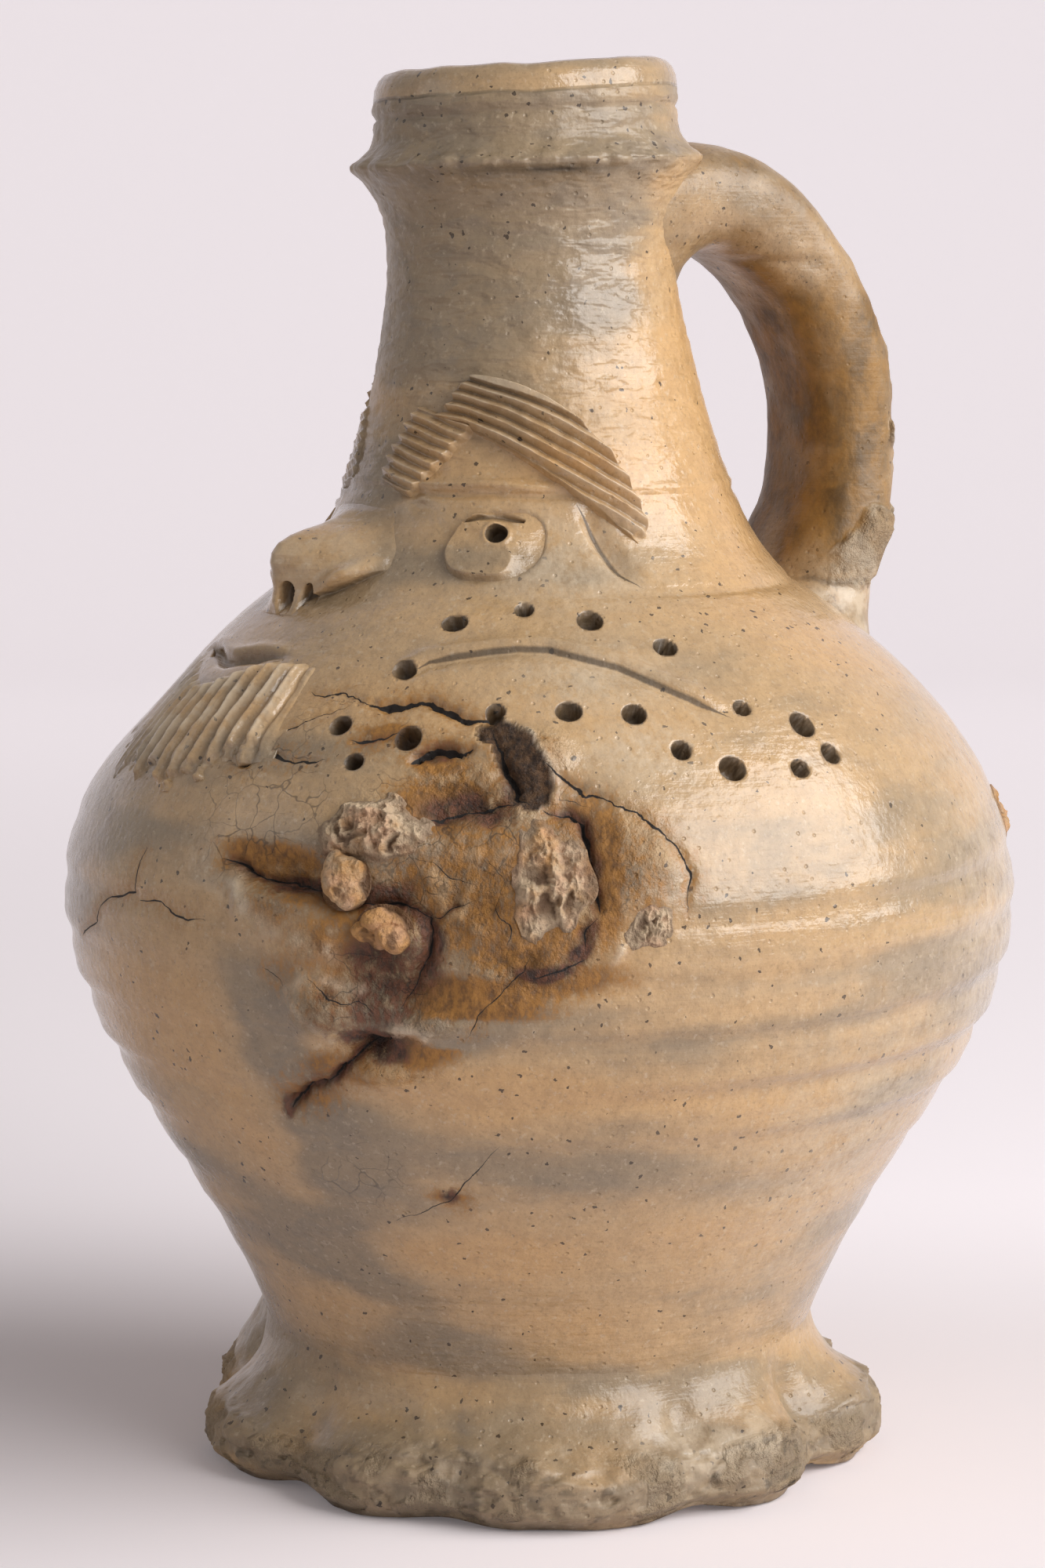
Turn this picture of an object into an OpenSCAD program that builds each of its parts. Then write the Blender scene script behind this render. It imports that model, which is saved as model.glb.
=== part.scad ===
// Salt-glazed stoneware face jug: thrown vessel, thumbed foot, strap handle, applied face.
// Millimetres. Origin on the ground at the axis, +Z up, nose towards -Y, handle towards +Y.

/* [Vessel] */
// Height over the lip
height = 220; // [214:1:230]
// Diameter of the flat underside
base_d = 80; // [72:1:84]
// Outward lean of the wall at the underside, mm per mm
base_lean = 0.1; // [0:0.05:0.2]
// Height of the waist over the foot
waist_z = 20; // [18:1:24]
// Diameter of the waist
waist_d = 86; // [82:0.2:92]
// Outward lean of the wall at the waist, mm per mm
waist_lean = 0.3; // [0.15:0.05:0.5]
// Height of the widest place
belly_z = 90; // [82:1:96]
// Diameter of the widest place
belly_d = 150.4; // [140:0.2:160]
// Height where the shoulder meets the neck
neck_base_z = 138.5; // [135:0.5:142]
// Diameter where the shoulder meets the neck
neck_base_d = 80.6; // [76:0.2:86]
// Inward fall of the shoulder at the neck, mm per mm
shoulder_fall = 1.5; // [1.2:0.1:1.8]
// Inward fall of the neck at the shoulder, mm per mm
neck_root_fall = 1.15; // [0.9:0.05:1.4]
// Thickness of the thrown wall
wall = 5; // [4:0.5:6]
// Thickness of the floor
floor_t = 7; // [5:0.5:9]
// Radius between floor and wall inside
floor_r = 10; // [6:1:14]
// Height of the throwing ridges on the belly
ridge_h = 0.4; // [0.1:0.05:0.8]
// Rise from one throwing ridge to the next
ridge_pitch = 9.6; // [8:0.4:12]
// Height where the throwing ridges start
ridge_from = 27; // [25:1:34]
// Height where the throwing ridges end
ridge_to = 104; // [98:1:110]

/* [Neck and rim] */
// Height of the throat, where the neck turns upright
throat_z = 156; // [153:0.5:159]
// Diameter of the throat
throat_d = 58.2; // [54:0.2:62]
// Inward fall of the neck at the throat, mm per mm
throat_fall = 0.36; // [0.25:0.01:0.45]
// Height of the narrowest place of the neck
neck_z = 190; // [186:0.5:193]
// Diameter of the narrowest place of the neck
neck_d = 44.6; // [43:0.2:48]
// Diameter of the mouth inside
mouth_d = 36.6; // [34:0.2:38]
// Height of the lower edge of the cordon
cordon_z = 203; // [200:0.5:205]
// Diameter of the cordon
cordon_d = 55.2; // [52:0.2:58]
// Thickness of the cordon's edge
cordon_t = 0.9; // [0.6:0.1:1.5]
// Outward lean under the cordon, mm per mm
cordon_lean = 1; // [0.7:0.1:1.3]
// Inward fall over the cordon, mm per mm
cordon_fall = 1.6; // [1.2:0.1:2]
// Height of the collar's foot over the cordon
collar_z = 209.5; // [208.5:0.5:211]
// Diameter of the collar
collar_d = 47.8; // [46:0.2:50]
// Height of the groove under the lip
lip_groove_z = 213.4; // [212.6:0.1:213.6]
// Depth of the groove under the lip
lip_groove = 0.5; // [0.2:0.1:0.8]
// Height of the rounded lip
lip_h = 4; // [3:0.5:4.5]

/* [Foot] */
// Number of thumbed lobes
foot_lobes = 9; // [7:1:11]
// Diameter over the lobes
foot_d = 110.5; // [104:0.5:116]
// Depth of the dents between the lobes
foot_dent = 3.4; // [1.5:0.1:4.5]
// Height at which the dents lift off the ground
foot_lift = 1.6; // [0.5:0.1:2.5]
// Turn of the first dent from the nose
foot_turn = 4; // [0:1:39]
// Height of the foot ring up the wall
foot_h = 21.5; // [20:0.5:25]
// Height of the rough band under the skirt
foot_band = 10; // [8:0.5:12]
// Thickness of the feathered upper edge
foot_edge = 0.7; // [0.5:0.1:1.2]

/* [Handle] */
// Height of the upper root's middle on the neck
handle_top_z = 196; // [194:0.5:197]
// Half height of the upper root on the neck
handle_top_half = 7.6; // [6.5:0.1:8]
// Half width of the upper root round the neck
handle_top_side = 14; // [12:0.5:15]
// Reach of the handle's middle line from the axis
handle_reach = 53.6; // [51:0.2:58]
// Height where the handle reaches out furthest
handle_out_z = 165; // [160:1:168]
// Lead of the strap away from the neck before it bends
handle_lead = 11.2; // [8:0.2:14]
// Rise of the strap over its root before it bends
handle_rise = 8.8; // [6:0.2:10]
// Length of the bend over the furthest reach
handle_over = 21.3; // [17:0.5:25]
// Length of the bend under the furthest reach
handle_under = 12.2; // [9:0.2:15]
// Rise of the strap over the lower root before it bends in
handle_tuck = 15; // [11:0.5:17]
// Height of the lower root's middle on the shoulder
handle_foot_z = 131.5; // [130:0.5:133]
// Half height of the lower root on the shoulder
handle_foot_half = 6.2; // [5:0.2:7]
// Half width of the lower root on the shoulder
handle_foot_side = 15; // [13:0.5:17]
// Width of the strap
strap_w = 25.6; // [20:0.2:27]
// Thickness of the strap
strap_t = 15.2; // [11:0.2:16]

/* [Face] */
// Height of the nose's tip over the shoulder line
nose_tip = 5.5; // [4.5:0.5:6.5]
// Height of the nose's bridge over the shoulder line
nose_top = 14; // [13:0.5:17]
// Depth of the nose's foot under the shoulder line
nose_foot = 4; // [3:0.5:5]
// Projection of the nose from the wall
nose_out = 11.4; // [9:0.2:13]
// Half width of the nose at the wings
nose_half = 11; // [9:0.5:12.5]
// Half width of the nose at the bridge
nose_bridge = 5.5; // [4:0.5:7]
// Diameter of each nostril
nostril_d = 2.8; // [2:0.1:3.2]
// Spread of the nostrils
nostril_gap = 6.4; // [5.6:0.2:7]
// Turn of each eye from the nose
eye_turn = 52; // [49:0.5:55]
// Height of the eyes over the shoulder line
eye_up = 7.6; // [7:0.2:8.2]
// Half turn of an eye pellet
eye_half = 13; // [11:0.5:14]
// Half height of an eye pellet
eye_high = 4.6; // [4:0.1:5]
// Thickness of an eye pellet
eye_t = 2.4; // [1.6:0.1:3]
// Diameter of the punched pupil
pupil_d = 3; // [2:0.1:3.6]
// Height of the brows' arch over the shoulder line
brow_rise = 36.5; // [34:0.5:38]
// Thickness of the brows
brow_t = 2.4; // [1.8:0.1:3]
// Depth of the combing in brows
brow_comb = 0.9; // [0.3:0.1:1.2]
// Teeth across each brow
brow_teeth = 5; // [4:1:6]
// Thickness of the beard pad
beard_t = 2; // [1.5:0.1:2.6]
// Depth of the combing in the beard
beard_comb = 0.8; // [0.3:0.1:1]
// Teeth across the beard
beard_teeth = 16; // [12:1:18]
// Half turn of the beard at its foot
beard_half = 23; // [20:0.5:25]
// Height of the beard's upper edge under the shoulder line
beard_up = 7.6; // [7:0.2:9]
// Height of the beard
beard_h = 17; // [13:0.5:18]
// Depth of the lowest dot under the shoulder line
dots_drop = 23.5; // [21:0.5:25]
// Diameter of the punched dots
dot_d = 3.3; // [2.4:0.1:3.8]
// Depth of the punched dots
dot_deep = 2.4; // [1:0.1:2.8]

/* [Kiln marks] */
// Height of the highest lump's middle over the widest place
scar_rise = 17.2; // [15:0.2:19]
// Projection of the stuck kiln lumps
lump_out = 3.2; // [2:0.1:4.5]
// Roughness of the stuck kiln lumps, part of their projection
lump_rough = 0.3; // [0.1:0.05:0.4]
// Half height of the tallest lump
lump_half = 7.2; // [6:0.2:8]
// Projection of the stuck flake
flake_out = 1.6; // [1:0.1:2]

/* [Fit] */
// Slip between an applied piece and the wall
lute = 0.12; // [0.1:0.01:0.3]

/* [Hidden] */
profile_step = 2.4;
round_steps = 96;
clay = [0.66, 0.58, 0.48];
pale = [0.74, 0.68, 0.60];
cinder = [0.80, 0.70, 0.58];

// Stations of the outer wall: height, radius, lean coming up to it, lean going on from it
stations = [
    [0, base_d / 2, base_lean, base_lean],
    [waist_z, waist_d / 2, waist_lean, waist_lean],
    [belly_z, belly_d / 2, 0, 0],
    [neck_base_z, neck_base_d / 2, -shoulder_fall, -neck_root_fall],
    [throat_z, throat_d / 2, -throat_fall, -throat_fall],
    [neck_z, neck_d / 2, 0, 0],
    [cordon_z, cordon_d / 2, cordon_lean, 0],
    [cordon_z + cordon_t, cordon_d / 2, 0, -cordon_fall],
    [collar_z, collar_d / 2, 0, 0],
    [height - lip_h, collar_d / 2, 0, 0]];

// Cubic between two stations, p and q, at height z
function leg_r(p, q, z) =
    let (run = q[0] - p[0], t = (z - p[0]) / run, t2 = t * t, t3 = t2 * t)
    (2 * t3 - 3 * t2 + 1) * p[1] + (t3 - 2 * t2 + t) * run * p[3]
    + (3 * t2 - 2 * t3) * q[1] + (t3 - t2) * run * q[2];

// Number of the leg that holds height z
function leg_of(z, i = 0) = i >= len(stations) - 2 || z <= stations[i + 1][0] ? i : leg_of(z, i + 1);

// Radius of the smooth outer wall at height z
function skin(z) = let (i = leg_of(z)) leg_r(stations[i], stations[i + 1], z);

// Throwing ridges, fading out at both ends
function ridge(z) =
    z <= ridge_from || z >= ridge_to ? 0
    : ridge_h * sin(180 * (z - ridge_from) / (ridge_to - ridge_from))
        * sin(360 * (z - ridge_from) / ridge_pitch);

function wall_r(z) = skin(z) + ridge(z);
function lean(z) = skin(z + 0.4) - skin(z - 0.4);
function slope(z) = lean(z) / 0.8;

// Wall thickness, running over from the belly to the neck
function wall_at(z) =
    let (thin = (neck_d - mouth_d) / 2, t = (z - neck_base_z) / (neck_z - neck_base_z))
    wall + (thin - wall) * min(max(t, 0), 1);

// Rounding between floor and wall inside
function floor_round(z) =
    z >= floor_t + floor_r ? 0
    : floor_r - sqrt(max(0, floor_r * floor_r - pow(floor_t + floor_r - z, 2)));

function inner_r(z) = skin(z) - wall_at(z) - floor_round(z);

// Heights from a to b in even steps, without b
function steps(a, b) = let (n = ceil((b - a) / profile_step)) [for (k = [0:n - 1]) a + (b - a) * k / n];

// Point on the wall at a turn and height, moved out along the wall's normal
function on_wall(turn, z, out) =
    let (m = slope(z), len_n = sqrt(1 + m * m), r = wall_r(z) + out / len_n)
    [r * sin(turn), -r * cos(turn), z - out * m / len_n];

// Point on the wall at a turn and height, moved straight out from the axis
function from_axis(turn, z, out) =
    let (r = wall_r(z) + out) [r * sin(turn), -r * cos(turn), z];

// Square coordinates to a disc
function disc(u, v) = [u * sqrt(1 - v * v / 2), v * sqrt(1 - u * u / 2)];

// Smooth step from 0 to 1
function ease(t) = let (s = min(max(t, 0), 1)) s * s * (3 - 2 * s);

// Closed solid between an outer grid of points and the grid that seats on the wall
module slab(front, back) {
    nu = len(front) - 1;
    nv = len(front[0]) - 1;
    w = nv + 1;
    n = (nu + 1) * w;
    points = concat([for (row = front) each row], [for (row = back) each row]);
    cells = [for (i = [0:nu - 1], j = [0:nv - 1]) [i * w + j, i * w + j + 1, i * w + w + j + 1, i * w + w + j]];
    top = [for (c = cells) each [[c[0], c[1], c[2]], [c[0], c[2], c[3]]]];
    under = [for (c = cells) each [[n + c[0], n + c[2], n + c[1]], [n + c[0], n + c[3], n + c[2]]]];
    rim = concat(
        [for (i = [0:nu - 1]) [i * w, i * w + w]],
        [for (j = [0:nv - 1]) [nu * w + j, nu * w + j + 1]],
        [for (i = [0:nu - 1]) [i * w + w + nv, i * w + nv]],
        [for (j = [0:nv - 1]) [j + 1, j]]);
    side = [for (e = rim) each [[e[0], e[1], n + e[1]], [e[0], n + e[1], n + e[0]]]];
    polyhedron(points = points, faces = concat(top, under, side));
}

// Closed ring through sections that each hold the same number of points
module ring(sections) {
    n = len(sections);
    m = len(sections[0]);
    points = [for (s = sections) each s];
    cells = [for (i = [0:n - 1], j = [0:m - 1])
        let (p = (i + 1) % n, q = (j + 1) % m) [i * m + j, i * m + q, p * m + q, p * m + j]];
    polyhedron(points = points, faces = [for (c = cells) each [[c[0], c[1], c[2]], [c[0], c[2], c[3]]]]);
}

// Closed tube through rings of points, drawn together to one point at each end
module tube(first, rings, last) {
    n = len(rings);
    m = len(rings[0]);
    points = concat([first], [for (r = rings) each r], [last]);
    cells = [for (i = [0:n - 2], j = [0:m - 1])
        let (q = (j + 1) % m) [1 + i * m + j, 1 + i * m + q, 1 + i * m + m + q, 1 + i * m + m + j]];
    body = [for (c = cells) each [[c[0], c[1], c[2]], [c[0], c[2], c[3]]]];
    start = [for (j = [0:m - 1]) [0, 1 + (j + 1) % m, 1 + j]];
    end = [for (j = [0:m - 1]) [1 + n * m, 1 + (n - 1) * m + j, 1 + (n - 1) * m + (j + 1) % m]];
    polyhedron(points = points, faces = concat(body, start, end));
}

// Half section of the thrown pot, from the middle of the underside round to the floor inside
module pot_section() {
    lip_mid = (collar_d + mouth_d) / 4;
    lip_half = (collar_d - mouth_d) / 4;
    outer_z = [for (i = [0:len(stations) - 2]) each steps(stations[i][0], stations[i + 1][0])];
    outer = [for (z = outer_z) if (abs(z - lip_groove_z) > 1) [wall_r(z), z]];
    below = [for (p = outer) if (p[1] < lip_groove_z) p];
    above = [for (p = outer) if (p[1] > lip_groove_z) p];
    groove = [for (k = [-2:2])
        [collar_d / 2 - lip_groove * cos(45 * k), lip_groove_z + 0.4 * k]];
    lip = [for (a = [0:22.5:180]) [lip_mid + lip_half * cos(a), height - lip_h + lip_h * sin(a)]];
    inner_z = steps(floor_t, neck_z);
    inner = [for (k = [len(inner_z) - 1:-1:0]) [inner_r(inner_z[k]), inner_z[k]]];
    polygon(concat([[0, 0]], below, groove, above, lip, [[mouth_d / 2, neck_z]], inner, [[0, floor_t]]));
}

// Punched dots round one cheek: turn from the nose, share of the drop under the shoulder line
dots = [[40, 0.4], [45.5, 0.13], [59, 0.05], [72, 0.12], [84, 0.28], [92, 0.64], [101, 0.75], [103, 0.94],
    [97, 1], [87, 0.97], [80.5, 0.85], [75.5, 0.65], [66, 0.62], [56, 0.62], [44, 0.77], [33.5, 0.72],
    [37.5, 0.93]];

// One punched dot, square to the wall
module dot(turn, share) {
    z = neck_base_z - dots_drop * share;
    rotate([0, 0, turn]) translate([0, -wall_r(z), z]) rotate([atan2(1, -slope(z)), 0, 0])
        translate([0, 0, -dot_deep]) cylinder(d = dot_d, h = dot_deep + 3, $fn = 24);
}

module vessel() {
    color(clay) difference() {
        rotate_extrude($fn = round_steps) pot_section();
        for (d = dots, side = [-1, 1]) dot(side * d[0], d[1]);
    }
}

// Section of the foot ring at one turn: up the outside, over the edge and down the wall
function foot_section(turn) =
    let (w = abs(sin(foot_lobes * (turn - foot_turn) / 2)), full = pow(w, 0.6),
        r = foot_d / 2 - foot_dent * (1 - full), lift = foot_lift * pow(1 - w, 2),
        top = wall_r(foot_h) + lute + foot_edge)
    concat(
        [for (p = [[base_d / 2 + 3, lift], [r - 3.4, lift], [r - 1.2, lift + foot_band * 0.09],
            [r, lift + foot_band * 0.34], [r - 0.5, foot_band * 0.7], [r - 2, foot_band]]) p],
        [for (k = [1:4]) [top + (r - 2 - top) * pow(1 - k / 4, 2.2), foot_band + (foot_h - foot_band) * k / 4]],
        [for (k = [5:-1:0]) let (z = max(0.4, foot_h * k / 5)) [wall_r(z) + lute, z]]);

module foot_frill() {
    n = foot_lobes * 12;
    color(clay) ring([for (k = [0:n - 1]) let (turn = 360 * k / n)
        [for (p = foot_section(turn)) [p[0] * sin(turn), -p[0] * cos(turn), p[1]]]]);
}

// Cubic curve through four controls
function bend(p, t) =
    pow(1 - t, 3) * p[0] + 3 * t * pow(1 - t, 2) * p[1] + 3 * t * t * (1 - t) * p[2] + t * t * t * p[3];
function heading(p, t) =
    let (d = pow(1 - t, 2) * (p[1] - p[0]) + 2 * t * (1 - t) * (p[2] - p[1]) + t * t * (p[3] - p[2]))
    d / norm(d);

// Round-cornered strap section: share of half width and half thickness at an angle
function strap(a) = [sign(cos(a)) * pow(abs(cos(a)), 0.7), sign(sin(a)) * pow(abs(sin(a)), 0.7)];

module handle() {
    sides = 20;
    turns = [for (k = [0:sides - 1]) 360 * k / sides];
    top_r = wall_r(handle_top_z);
    foot_out = wall_r(handle_foot_z);
    upper = [[top_r, handle_top_z], [top_r + handle_lead, handle_top_z + handle_rise],
        [handle_reach, handle_out_z + handle_over], [handle_reach, handle_out_z]];
    lower = [[handle_reach, handle_out_z], [handle_reach, handle_out_z - handle_under],
        [handle_reach, handle_foot_z + handle_tuck], [foot_out - strap_t / 4, handle_foot_z]];
    at_neck = function (s) [for (a = turns) let (x = s * handle_top_side * cos(a),
        z = handle_top_z + s * handle_top_half * sin(a)) [x, sqrt(pow(wall_r(z) + lute, 2) - x * x), z]];
    at_shoulder = function (s) [for (a = turns) let (x = s * handle_foot_side * cos(a),
        z = handle_foot_z - s * handle_foot_half * sin(a)) [x, sqrt(pow(wall_r(z) + lute, 2) - x * x), z]];
    cut = function (curve, t, w, h) [for (a = turns) let (c = bend(curve, t), d = heading(curve, t),
        s = strap(a)) [w * s[0], c[0] - h * s[1] * d[1], c[1] + h * s[1] * d[0]]];
    upper_t = [for (k = [1:12]) 0.2 + 0.8 * k / 12];
    lower_t = [for (k = [1:9]) 0.86 * k / 9];
    top_flare = function (t) 1 - ease((t - 0.2) / 0.5);
    foot_flare = function (t) ease((t - 0.3) / 0.56);
    body = concat(
        [for (t = upper_t) cut(upper, t, strap_w / 2 + (handle_top_side - 1 - strap_w / 2) * top_flare(t),
            strap_t / 2 + 0.8 * top_flare(t))],
        [for (t = lower_t) cut(lower, t, strap_w / 2 + (handle_foot_side - 1 - strap_w / 2) * foot_flare(t),
            strap_t / 2 + 0.6 * foot_flare(t))]);
    rings = concat([for (s = [0.25, 0.5, 0.75, 1]) at_neck(s)], body,
        [for (s = [1, 0.75, 0.5, 0.25]) at_shoulder(s)]);
    color(clay) tube([0, top_r + lute, handle_top_z], rings, [0, foot_out + lute, handle_foot_z]);
}

// Projection of the nose at a share across and a height over the shoulder line
function nose_rise(across, up) =
    let (over = up - nose_tip,
        along = over > 0 ? pow(max(0, 1 - pow(over / (nose_top - nose_tip), 2)), 1.2)
            : 1 - pow(min(1, -over / (nose_tip + nose_foot)), 1.6))
    0.9 + nose_out * along * pow(1 - pow(abs(across), 2), 0.8);

module nose() {
    n = 14;
    grid = function (out) [for (i = [0:n]) [for (j = [0:n])
        let (q = disc(2 * i / n - 1, 2 * j / n - 1),
            up = -nose_foot + (nose_top + nose_foot) * (q[1] + 1) / 2,
            wide = nose_bridge + (nose_half - nose_bridge) * (1 - ease(up / nose_top)),
            z = neck_base_z + up, turn = q[0] * wide / wall_r(z) * 180 / PI,
            edge = sqrt(max(0, 1 - q[1] * q[1])), across = edge > 0.001 ? q[0] / edge : 0)
        from_axis(turn, z, out ? nose_rise(min(max(across, -1), 1), up) : lute)]];
    color(pale) difference() {
        slab(grid(true), grid(false));
        for (side = [-1, 1])
            translate([side * nostril_gap / 2, -wall_r(neck_base_z) - 4.6, neck_base_z - 4])
                rotate([-14, 0, 0]) cylinder(d = nostril_d, h = 6.4, $fn = 24);
    }
}

// Height over a pad's foot with combed teeth running along it
function combed(thick, comb, teeth, v, edge) =
    (thick - comb * (0.5 - 0.5 * cos(360 * teeth * v))) * edge + 0.5 * (1 - edge);

// Short front dab of a brow, combed across; side is 1 for the left and -1 for the right
module brow_front(side) {
    nu = 6;
    nv = brow_teeth * 4;
    grid = function (out) [for (i = [0:nu]) [for (j = [0:nv])
        let (u = side > 0 ? i / nu : 1 - i / nu, v = j / nv,
            turn = 6.3 + 9.5 * v + (14 - 0.3 * v) * u,
            up = brow_rise * (0.48 + 0.29 * v - (0.03 + 0.06 * v) * u),
            edge = ease(4 * u) * ease(4 * (1 - u)) * ease(6 * v) * ease(6 * (1 - v)))
        on_wall(side * turn, neck_base_z + up, out ? combed(brow_t, brow_comb, brow_teeth, v, edge) : lute)]];
    color(pale) slab(grid(true), grid(false));
}

// Edges of the long brow: turn from the nose and share of the brows' arch over the shoulder line
brow_top = [[31, 0.77], [42, 0.97], [76, 1], [91, 0.3]];
brow_under = [[37, 0.58], [47, 0.71], [64, 0.7], [82, 0.21]];

module brow_long(side) {
    nu = 20;
    nv = brow_teeth * 4;
    grid = function (out) [for (i = [0:nu]) [for (j = [0:nv])
        let (u = side > 0 ? i / nu : 1 - i / nu, v = j / nv,
            c = bend(brow_under, u) * (1 - v) + bend(brow_top, u) * v,
            edge = ease(8 * u) * ease(6 * (1 - u)) * ease(6 * v) * ease(6 * (1 - v)))
        on_wall(side * c[0], neck_base_z + brow_rise * c[1],
            out ? combed(brow_t, brow_comb, brow_teeth, v, edge) : lute)]];
    color(pale) slab(grid(true), grid(false));
}

module brow_left_front() { brow_front(1); }
module brow_left_long() { brow_long(1); }
module brow_right_front() { brow_front(-1); }
module brow_right_long() { brow_long(-1); }

// Flat pellet with a rounded edge and a punched pupil
module eye(side) {
    n = 12;
    grid = function (out) [for (i = [0:n]) [for (j = [0:n])
        let (q = disc(2 * i / n - 1, 2 * j / n - 1), turn = side * eye_turn + eye_half * q[0],
            up = eye_up + eye_high * q[1], dome = pow(max(0, 1 - norm(q) * norm(q)), 0.4))
        on_wall(turn, neck_base_z + up, out ? 0.5 + (eye_t - 0.5) * dome : lute)]];
    z = neck_base_z + eye_up + 1.2;
    color(pale) difference() {
        slab(grid(true), grid(false));
        rotate([0, 0, side * (eye_turn - 1)]) translate([0, -wall_r(z), z])
            rotate([atan2(1, -slope(z)), 0, 0]) translate([0, 0, -1]) cylinder(d = pupil_d, h = 8, $fn = 24);
    }
}

module eye_left() { eye(1); }
module eye_right() { eye(-1); }

module beard_pad() {
    nu = beard_teeth * 4;
    nv = 7;
    grid = function (out) [for (i = [0:nu]) [for (j = [0:nv])
        let (u = i / nu, v = j / nv, turn = beard_half * (2 * u - 1) * (1 - 0.1 * v),
            up = -beard_up - beard_h * (1 - v * (1 - 0.04 * pow(2 * u - 1, 2))),
            edge = ease(8 * u) * ease(8 * (1 - u)) * ease(4 * v) * ease(4 * (1 - v)))
        on_wall(turn, neck_base_z + up, out ? combed(beard_t, beard_comb, beard_teeth, u, edge) : lute)]];
    color(pale) slab(grid(true), grid(false));
}

// Rough lump of kiln debris fused to the wall
module lump(turn, z, half_turn, half_z, out, seed) {
    n = 8;
    grid = function (raised) [for (i = [0:n]) [for (j = [0:n])
        let (q = disc(2 * i / n - 1, 2 * j / n - 1), ragged = 1 + 0.16 * sin(3 * atan2(q[1], q[0]) + seed),
            rough = 1 + lump_rough * sin(260 * q[0] + seed) * cos(310 * q[1] + 2 * seed),
            dome = pow(max(0, 1 - norm(q) * norm(q)), 0.5))
        on_wall(turn + half_turn * ragged * q[0], z + half_z * ragged * q[1],
            raised ? 0.5 + (out - 0.5) * dome * rough : lute)]];
    color(cinder) slab(grid(true), grid(false));
}

// Lumps in the scar: turn, share of the scar's rise, half turn, share of the half height, share of the projection
lumps = [[42.2, 1, 6.4, 0.42, 1.2], [39.2, 0.55, 2.7, 0.36, 1], [44.2, 0.2, 2.9, 0.37, 1.1],
    [62.8, 0.63, 4.2, 1, 1], [74, 0.24, 3, 0.53, 0.75]];
flake_spot = [147, 0.68, 3.4, 0.55];

module kiln_lump(k) {
    p = lumps[k];
    lump(p[0], belly_z + scar_rise * p[1], p[2], lump_half * p[3], lump_out * p[4], 20 + 55 * k);
}

module kiln_lump_1() { kiln_lump(0); }
module kiln_lump_2() { kiln_lump(1); }
module kiln_lump_3() { kiln_lump(2); }
module kiln_lump_4() { kiln_lump(3); }
module kiln_lump_5() { kiln_lump(4); }
module kiln_flake() { lump(flake_spot[0], belly_z + scar_rise * flake_spot[1], flake_spot[2], lump_half * flake_spot[3], flake_out, 250); }

vessel();
foot_frill();
handle();
nose();
brow_left_front();
brow_left_long();
brow_right_front();
brow_right_long();
eye_left();
eye_right();
beard_pad();
kiln_lump_1();
kiln_lump_2();
kiln_lump_3();
kiln_lump_4();
kiln_lump_5();
kiln_flake();
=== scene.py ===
# %% [markdown]
# # A salt-glazed stoneware face jug
# This lesson dresses a jug whose solids are already built. The pot was thrown on a
# wheel, then a foot coil, a strap handle and the pieces of a bearded mask were pressed on, and the
# kiln burst one side of it and dropped debris into the wound. Every piece here is worked out with
# numpy in millimetres, in the same frame as the solids: +Z is up, the nose looks along -Y, and the
# handle is at +Y.

# %% Load the solids
import math
import bpy
import numpy as np
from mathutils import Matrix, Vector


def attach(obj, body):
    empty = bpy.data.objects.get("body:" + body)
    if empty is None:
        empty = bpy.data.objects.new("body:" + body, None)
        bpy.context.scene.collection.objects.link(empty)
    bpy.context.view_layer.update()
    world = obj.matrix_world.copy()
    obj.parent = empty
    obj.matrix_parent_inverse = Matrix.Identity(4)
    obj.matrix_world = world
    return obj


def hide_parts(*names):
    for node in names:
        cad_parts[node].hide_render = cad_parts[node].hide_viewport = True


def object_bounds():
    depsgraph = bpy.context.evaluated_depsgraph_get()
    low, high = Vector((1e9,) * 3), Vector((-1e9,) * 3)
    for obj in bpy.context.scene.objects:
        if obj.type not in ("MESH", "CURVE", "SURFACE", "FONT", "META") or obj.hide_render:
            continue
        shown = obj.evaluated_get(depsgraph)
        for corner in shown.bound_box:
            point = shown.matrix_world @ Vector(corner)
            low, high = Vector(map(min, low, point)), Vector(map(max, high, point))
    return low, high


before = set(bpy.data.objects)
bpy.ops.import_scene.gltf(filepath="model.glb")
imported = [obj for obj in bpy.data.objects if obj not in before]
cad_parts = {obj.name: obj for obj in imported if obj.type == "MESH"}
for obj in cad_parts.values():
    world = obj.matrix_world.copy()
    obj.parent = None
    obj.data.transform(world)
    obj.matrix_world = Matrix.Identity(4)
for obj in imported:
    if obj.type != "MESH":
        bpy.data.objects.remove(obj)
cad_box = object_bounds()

MM = 0.001
print("solids:", ", ".join(sorted(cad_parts)))

# %% [markdown]
# ## The camera
# The photograph was taken with a longish lens from just below the rim's height, looking a little
# down, from the mask's left. A camera is placed by its turn round the jug, measured from the nose,
# its distance from the axis, its height and its downward tilt. The long side of the picture takes
# the whole sensor, so the lens is given for that side.

# %% Camera
VIEW_TURN = 62.0
VIEW_DROP = 6.99
VIEW_FAR = 617.5
VIEW_HIGH = 181.6
VIEW_ASIDE = 0.246
LENS_MM = 90.0
SENSOR_MM = 36.0

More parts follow.
